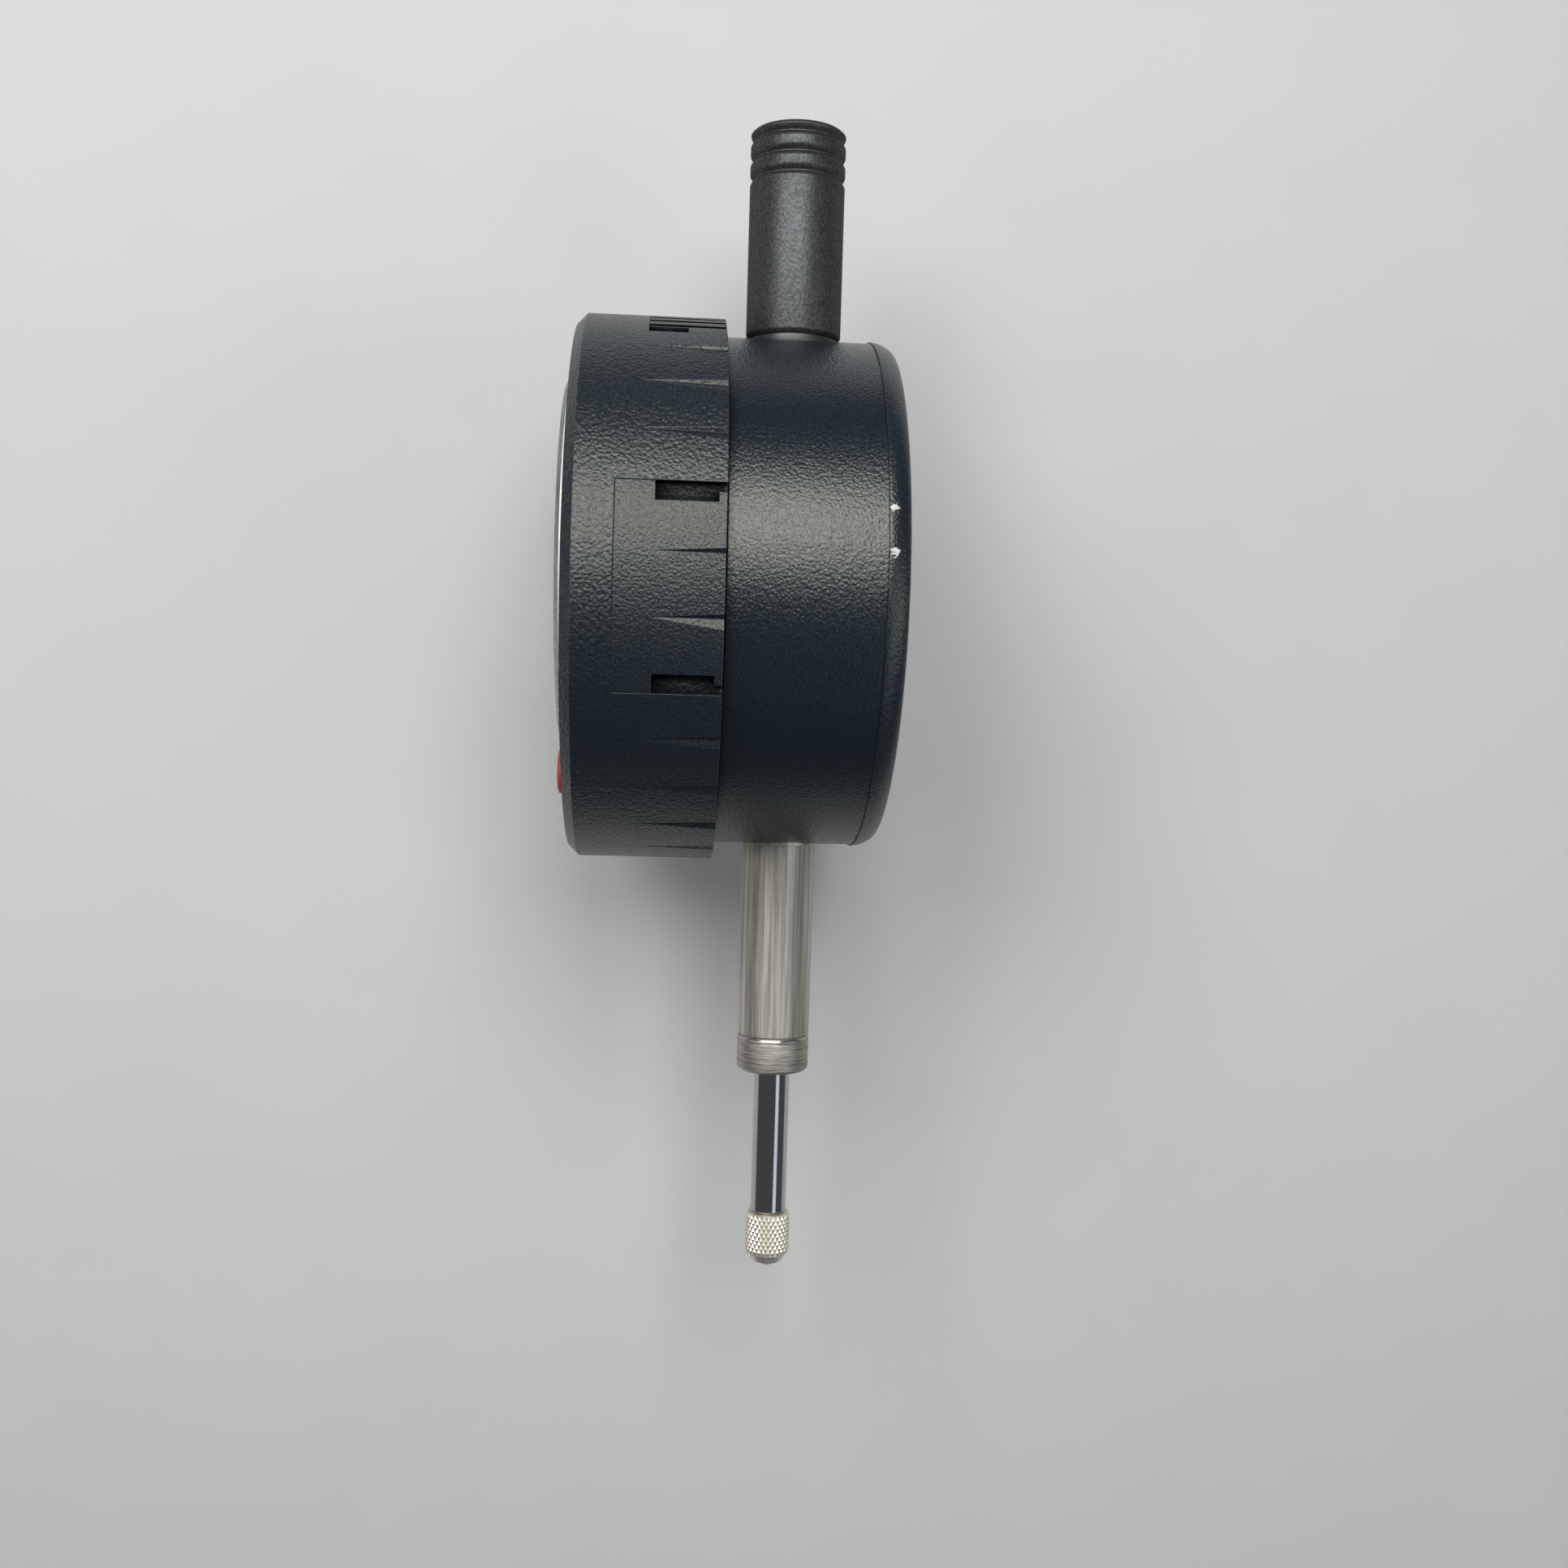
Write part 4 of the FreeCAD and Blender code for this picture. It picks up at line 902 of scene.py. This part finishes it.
class INDICATOR_OT_inner_works(bpy.types.Operator):
    """Winds the return spring and finishes the boards, cell and guide inside"""
    bl_idname = "indicator.inner_works"
    bl_label = "Inner works"

    def execute(self, context):
        finish = finishes()
        for name, nodes in {
            "Black rubber": ("bumper", "contact_strips"),
            "Spring wire": ("retaining_ring", "guide_rail", "spring_post", "coin_cell", "cell_contact_plus",
                            "cell_contact_minus"),
            "Circuit board": ("sensor_board", "display_board"),
            "Black polymer": ("sensor_chip", "display_chip", "lcd_frame", "data_socket"),
            "Nickel plate": ("head_stop_pin",),
        }.items():
            for node in nodes:
                paint(node, finish[name])
        spring = self.spring(context)
        spring.data.materials.clear()
        spring.data.materials.append(finish["Spring wire"])
        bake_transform(spring)
        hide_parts("return_spring")
        self.ribbon(finish["Polyimide film"])
        self.key_mat(finish["Grey silicone"])
        return {"FINISHED"}

    def key_mat(self, material):
        """Silicone sheet behind the buttons, with a dome under each."""
        lowest, highest = low("key_mat"), high("key_mat")
        front, travel_room = highest.y - 0.8 * MM, 0.05 * MM
        foot, side = 4.5 * MM, lowest.z + 3.31 * MM
        corners = [Vector((x, front, z)) for x, z in (
            (highest.x, highest.z), (highest.x, side), (foot, lowest.z), (-foot, lowest.z), (lowest.x, side),
            (lowest.x, highest.z))]
        sheet = drawn("key_mat_sheet", corners)
        bpy.ops.mesh.edge_face_add()
        bpy.ops.mesh.extrude_region_move(TRANSFORM_OT_translate={"value": (0, highest.y - front, 0)})
        bpy.ops.mesh.select_all(action="SELECT")
        bpy.ops.mesh.normals_make_consistent(inside=False)
        bpy.ops.object.mode_set(mode="OBJECT")
        dress(smooth(break_edges(sheet, 0.1 * MM, 2)), material, "head", "grey_silicone", "key_mat")
        for node in ("button_left", "button_middle", "button_right"):
            centre = middle(node)
            dome = turned(node + "_dome", [
                (0, lowest.y), (0.9 * MM, lowest.y + 0.02 * MM), (1.4 * MM, lowest.y + 0.14 * MM),
                (1.7 * MM, lowest.y + 0.42 * MM), (1.8 * MM, front), (0, front)],
                (centre.x, 0, centre.z), "Y", 48)
            dress(smooth(dome, 50), material, "head", "grey_silicone")
            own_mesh(dome)

    def ribbon(self, material):
        """Flat cable through the hub, cut into 32 short lengths."""
        lowest, highest = low("ribbon_cable"), high("ribbon_cable")
        centre = middle("ribbon_cable")
        bpy.ops.object.select_all(action="DESELECT")
        bpy.ops.mesh.primitive_cube_add(size=1, location=centre, scale=highest - lowest)
        cable = settle(fresh("ribbon_film"))
        bpy.ops.object.mode_set(mode="EDIT")
        for index in range(1, 32):
            place = (centre.x, lowest.y + (highest.y - lowest.y) * index / 32, centre.z)
            bpy.ops.mesh.select_all(action="SELECT")
            bpy.ops.mesh.bisect(plane_co=place, plane_no=(0, 1, 0))
        bpy.ops.object.mode_set(mode="OBJECT")
        cable.data.materials.append(material)
        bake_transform(cable)
        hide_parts("ribbon_cable")

    def spring(self, context):
        """Round wire wound into a coil by the screw tool, with a ring at each end."""
        shape = context.scene.indicator_shape
        lowest, highest = low("return_spring"), high("return_spring")
        centre = middle("return_spring")
        coil_r, loop_r, wire = 1.25 * MM, 0.88 * MM, 0.17 * MM
        hook, loop_inset = 2.0 * MM, 1.07 * MM
        start, end = lowest.z + hook, highest.z - hook
        upright = (math.pi / 2, 0, 0)
        bpy.ops.object.select_all(action="DESELECT")
        bpy.ops.mesh.primitive_circle_add(vertices=8, radius=wire, location=(coil_r, 0, 0), rotation=upright)
        coil = settle(fresh("coil"))
        apply_modifier(coil, "SCREW", angle=math.tau, screw_offset=(end - start) / shape.coil_turns,
                       iterations=shape.coil_turns, steps=20, render_steps=20, use_merge_vertices=False)
        bpy.ops.object.mode_set(mode="EDIT")
        bpy.ops.mesh.select_all(action="DESELECT")
        bpy.ops.mesh.select_mode(type="EDGE")
        bpy.ops.mesh.select_non_manifold()
        bpy.ops.mesh.edge_face_add()
        bpy.ops.mesh.select_mode(type="VERT")
        bpy.ops.mesh.select_all(action="SELECT")
        bpy.ops.transform.translate(value=(centre.x, centre.y, start))
        bpy.ops.mesh.normals_make_consistent(inside=False)
        bpy.ops.object.mode_set(mode="OBJECT")
        pieces = [coil]
        for z in (lowest.z + loop_inset, highest.z - loop_inset):
            bpy.ops.object.select_all(action="DESELECT")
            bpy.ops.mesh.primitive_torus_add(
                location=(centre.x, centre.y, z), rotation=upright, major_radius=loop_r, minor_radius=wire,
                major_segments=40, minor_segments=8)
            pieces.append(settle(fresh("loop")))
        return smooth(joined("return_spring_coil", pieces), 60)


class INDICATOR_OT_stage(bpy.types.Operator):
    """Sets up the pale table, the soft lights and the camera"""
    bl_idname = "indicator.stage"
    bl_label = "Stage"

    def execute(self, context):
        stage = context.scene.indicator_stage
        side = cad_box[0].x - stage.table_gap
        bpy.ops.object.select_all(action="DESELECT")
        body = middle("body_case")
        bpy.ops.mesh.primitive_plane_add(size=TABLE_SIZE, location=(side, 0, body.z),
                                         rotation=(0, math.pi / 2, 0))
        table = fresh("table")
        table.data.materials.append(self.pale_table())

        white, warm, cool = "#fffefb", "#fffdf4", "#e6efff"
        self.lamp("key_light_left", self.direction(-29, 27), body, 0.205, 0.28, stage.key_power, white)
        self.lamp("key_light_right", self.direction(6, 27), body, 0.18, 0.28, stage.key_power, white)
        self.lamp("low_light_left", self.direction(-58, -5), body, 0.32, 0.11, stage.low_power, warm)
        self.lamp("low_light_right", self.direction(52, -5), body, 0.32, 0.11, stage.low_power, warm)
        rod_end = low("spindle")
        self.lamp("strip_light", self.direction(38, -16), rod_end, 0.15, 0.32, stage.strip_power, cool)

        world = bpy.data.worlds.new("soft_room")
        context.scene.world = world
        world.use_nodes = True
        tree = world.node_tree
        tree.nodes.clear()
        sky = add(tree, "ShaderNodeBackground", {"Color": linear("#dfe6ee"), "Strength": stage.sky})
        pale = add(tree, "ShaderNodeBackground", {"Color": linear("#d6d6d2"), "Strength": 1.0})
        seen = add(tree, "ShaderNodeLightPath").outputs["Is Camera Ray"]
        blend = add(tree, "ShaderNodeMixShader", {0: seen, 1: sky.outputs[0], 2: pale.outputs[0]})
        add(tree, "ShaderNodeOutputWorld", {"Surface": blend.outputs[0]})

        camera = bpy.data.objects.new("camera", bpy.data.cameras.new("camera"))
        context.collection.objects.link(camera)
        camera.data.lens = camera.data.sensor_width = LENS
        camera.data.clip_start = 10 * MM
        turn = Matrix((CAMERA_RIGHT, CAMERA_BACK.cross(CAMERA_RIGHT), CAMERA_BACK)).transposed().to_4x4()
        camera.matrix_world = Matrix.Translation(stage.camera_place) @ turn
        context.scene.camera = camera
        context.scene.view_settings.view_transform = "Standard"
        return {"FINISHED"}

    def pale_table(self):
        """Matt pale table top, seen from its front alone."""
        material, tree = blank("Pale table")
        dust = add(tree, "ShaderNodeTexNoise", {
            "Vector": places_on(tree, (MM / 0.06,) * 3), "Scale": 1.0, "Detail": 3.0}).outputs["Fac"]
        colour = add(tree, "ShaderNodeMix", {0: dust, 6: linear("#c3c3c3"), 7: linear("#c7c7c8")},
                     data_type="RGBA").outputs[2]
        matt = add(tree, "ShaderNodeBsdfPrincipled", {
            "Base Color": colour, "Roughness": 0.85, "Specular IOR Level": 0.2})
        behind = add(tree, "ShaderNodeNewGeometry").outputs["Backfacing"]
        clear = add(tree, "ShaderNodeBsdfTransparent")
        close(tree, add(tree, "ShaderNodeMixShader", {0: behind, 1: matt.outputs[0], 2: clear.outputs[0]}))
        return material

    def direction(self, azimuth, elevation):
        """Unit vector at an azimuth from the side that the camera sees, and an elevation."""
        azimuth, elevation = math.radians(azimuth), math.radians(elevation)
        return Vector((math.cos(elevation) * math.cos(azimuth), math.cos(elevation) * math.sin(azimuth),
                       math.sin(elevation)))

    def lamp(self, name, direction, target, width, height, power, colour):
        """Soft lamp at the stage's distance from a target, which it faces."""
        data = bpy.data.lights.new(name, "AREA")
        data.shape = "RECTANGLE"
        data.size = width
        data.size_y = height
        data.energy = power
        data.color = linear(colour)[:3]
        lamp = bpy.data.objects.new(name, data)
        bpy.context.collection.objects.link(lamp)
        lamp.location = Vector(target) + direction * bpy.context.scene.indicator_stage.lamp_distance
        lamp.rotation_euler = (-direction).to_track_quat("-Z", "Y").to_euler()
        return lamp


class INDICATOR_PT_pieces(bpy.types.Panel):
    """Lists the steps that dress the indicator"""
    bl_idname = "INDICATOR_PT_pieces"
    bl_label = "Digital indicator"
    bl_space_type = "VIEW_3D"
    bl_region_type = "UI"
    bl_category = "Indicator"

    def draw(self, context):
        for operator in STEPS:
            self.layout.operator(operator.bl_idname)
        for group_name in GROUPS:
            group = getattr(context.scene, group_name)
            for name in group.__annotations__:
                self.layout.prop(group, name)


STEPS = (
    INDICATOR_OT_shells,
    INDICATOR_OT_dust_cap,
    INDICATOR_OT_stem,
    INDICATOR_OT_spindle,
    INDICATOR_OT_back_cover,
    INDICATOR_OT_face,
    INDICATOR_OT_inner_works,
    INDICATOR_OT_stage,
)
GROUPS = {
    "indicator_finish": IndicatorFinish,
    "indicator_shape": IndicatorShape,
    "indicator_stage": IndicatorStage,
}


def register():
    for cls in (*GROUPS.values(), *STEPS, INDICATOR_PT_pieces):
        bpy.utils.register_class(cls)
    for name, group in GROUPS.items():
        setattr(bpy.types.Scene, name, bpy.props.PointerProperty(type=group))


def unregister():
    for name in GROUPS:
        delattr(bpy.types.Scene, name)
    for cls in reversed((*GROUPS.values(), *STEPS, INDICATOR_PT_pieces)):
        bpy.utils.unregister_class(cls)


def main():
    register()
    bpy.ops.indicator.shells()
    bpy.ops.indicator.dust_cap()
    bpy.ops.indicator.stem()
    bpy.ops.indicator.spindle()
    bpy.ops.indicator.back_cover()
    bpy.ops.indicator.face()
    bpy.ops.indicator.inner_works()
    bpy.ops.indicator.stage()


if __name__ == "__main__":
    main()
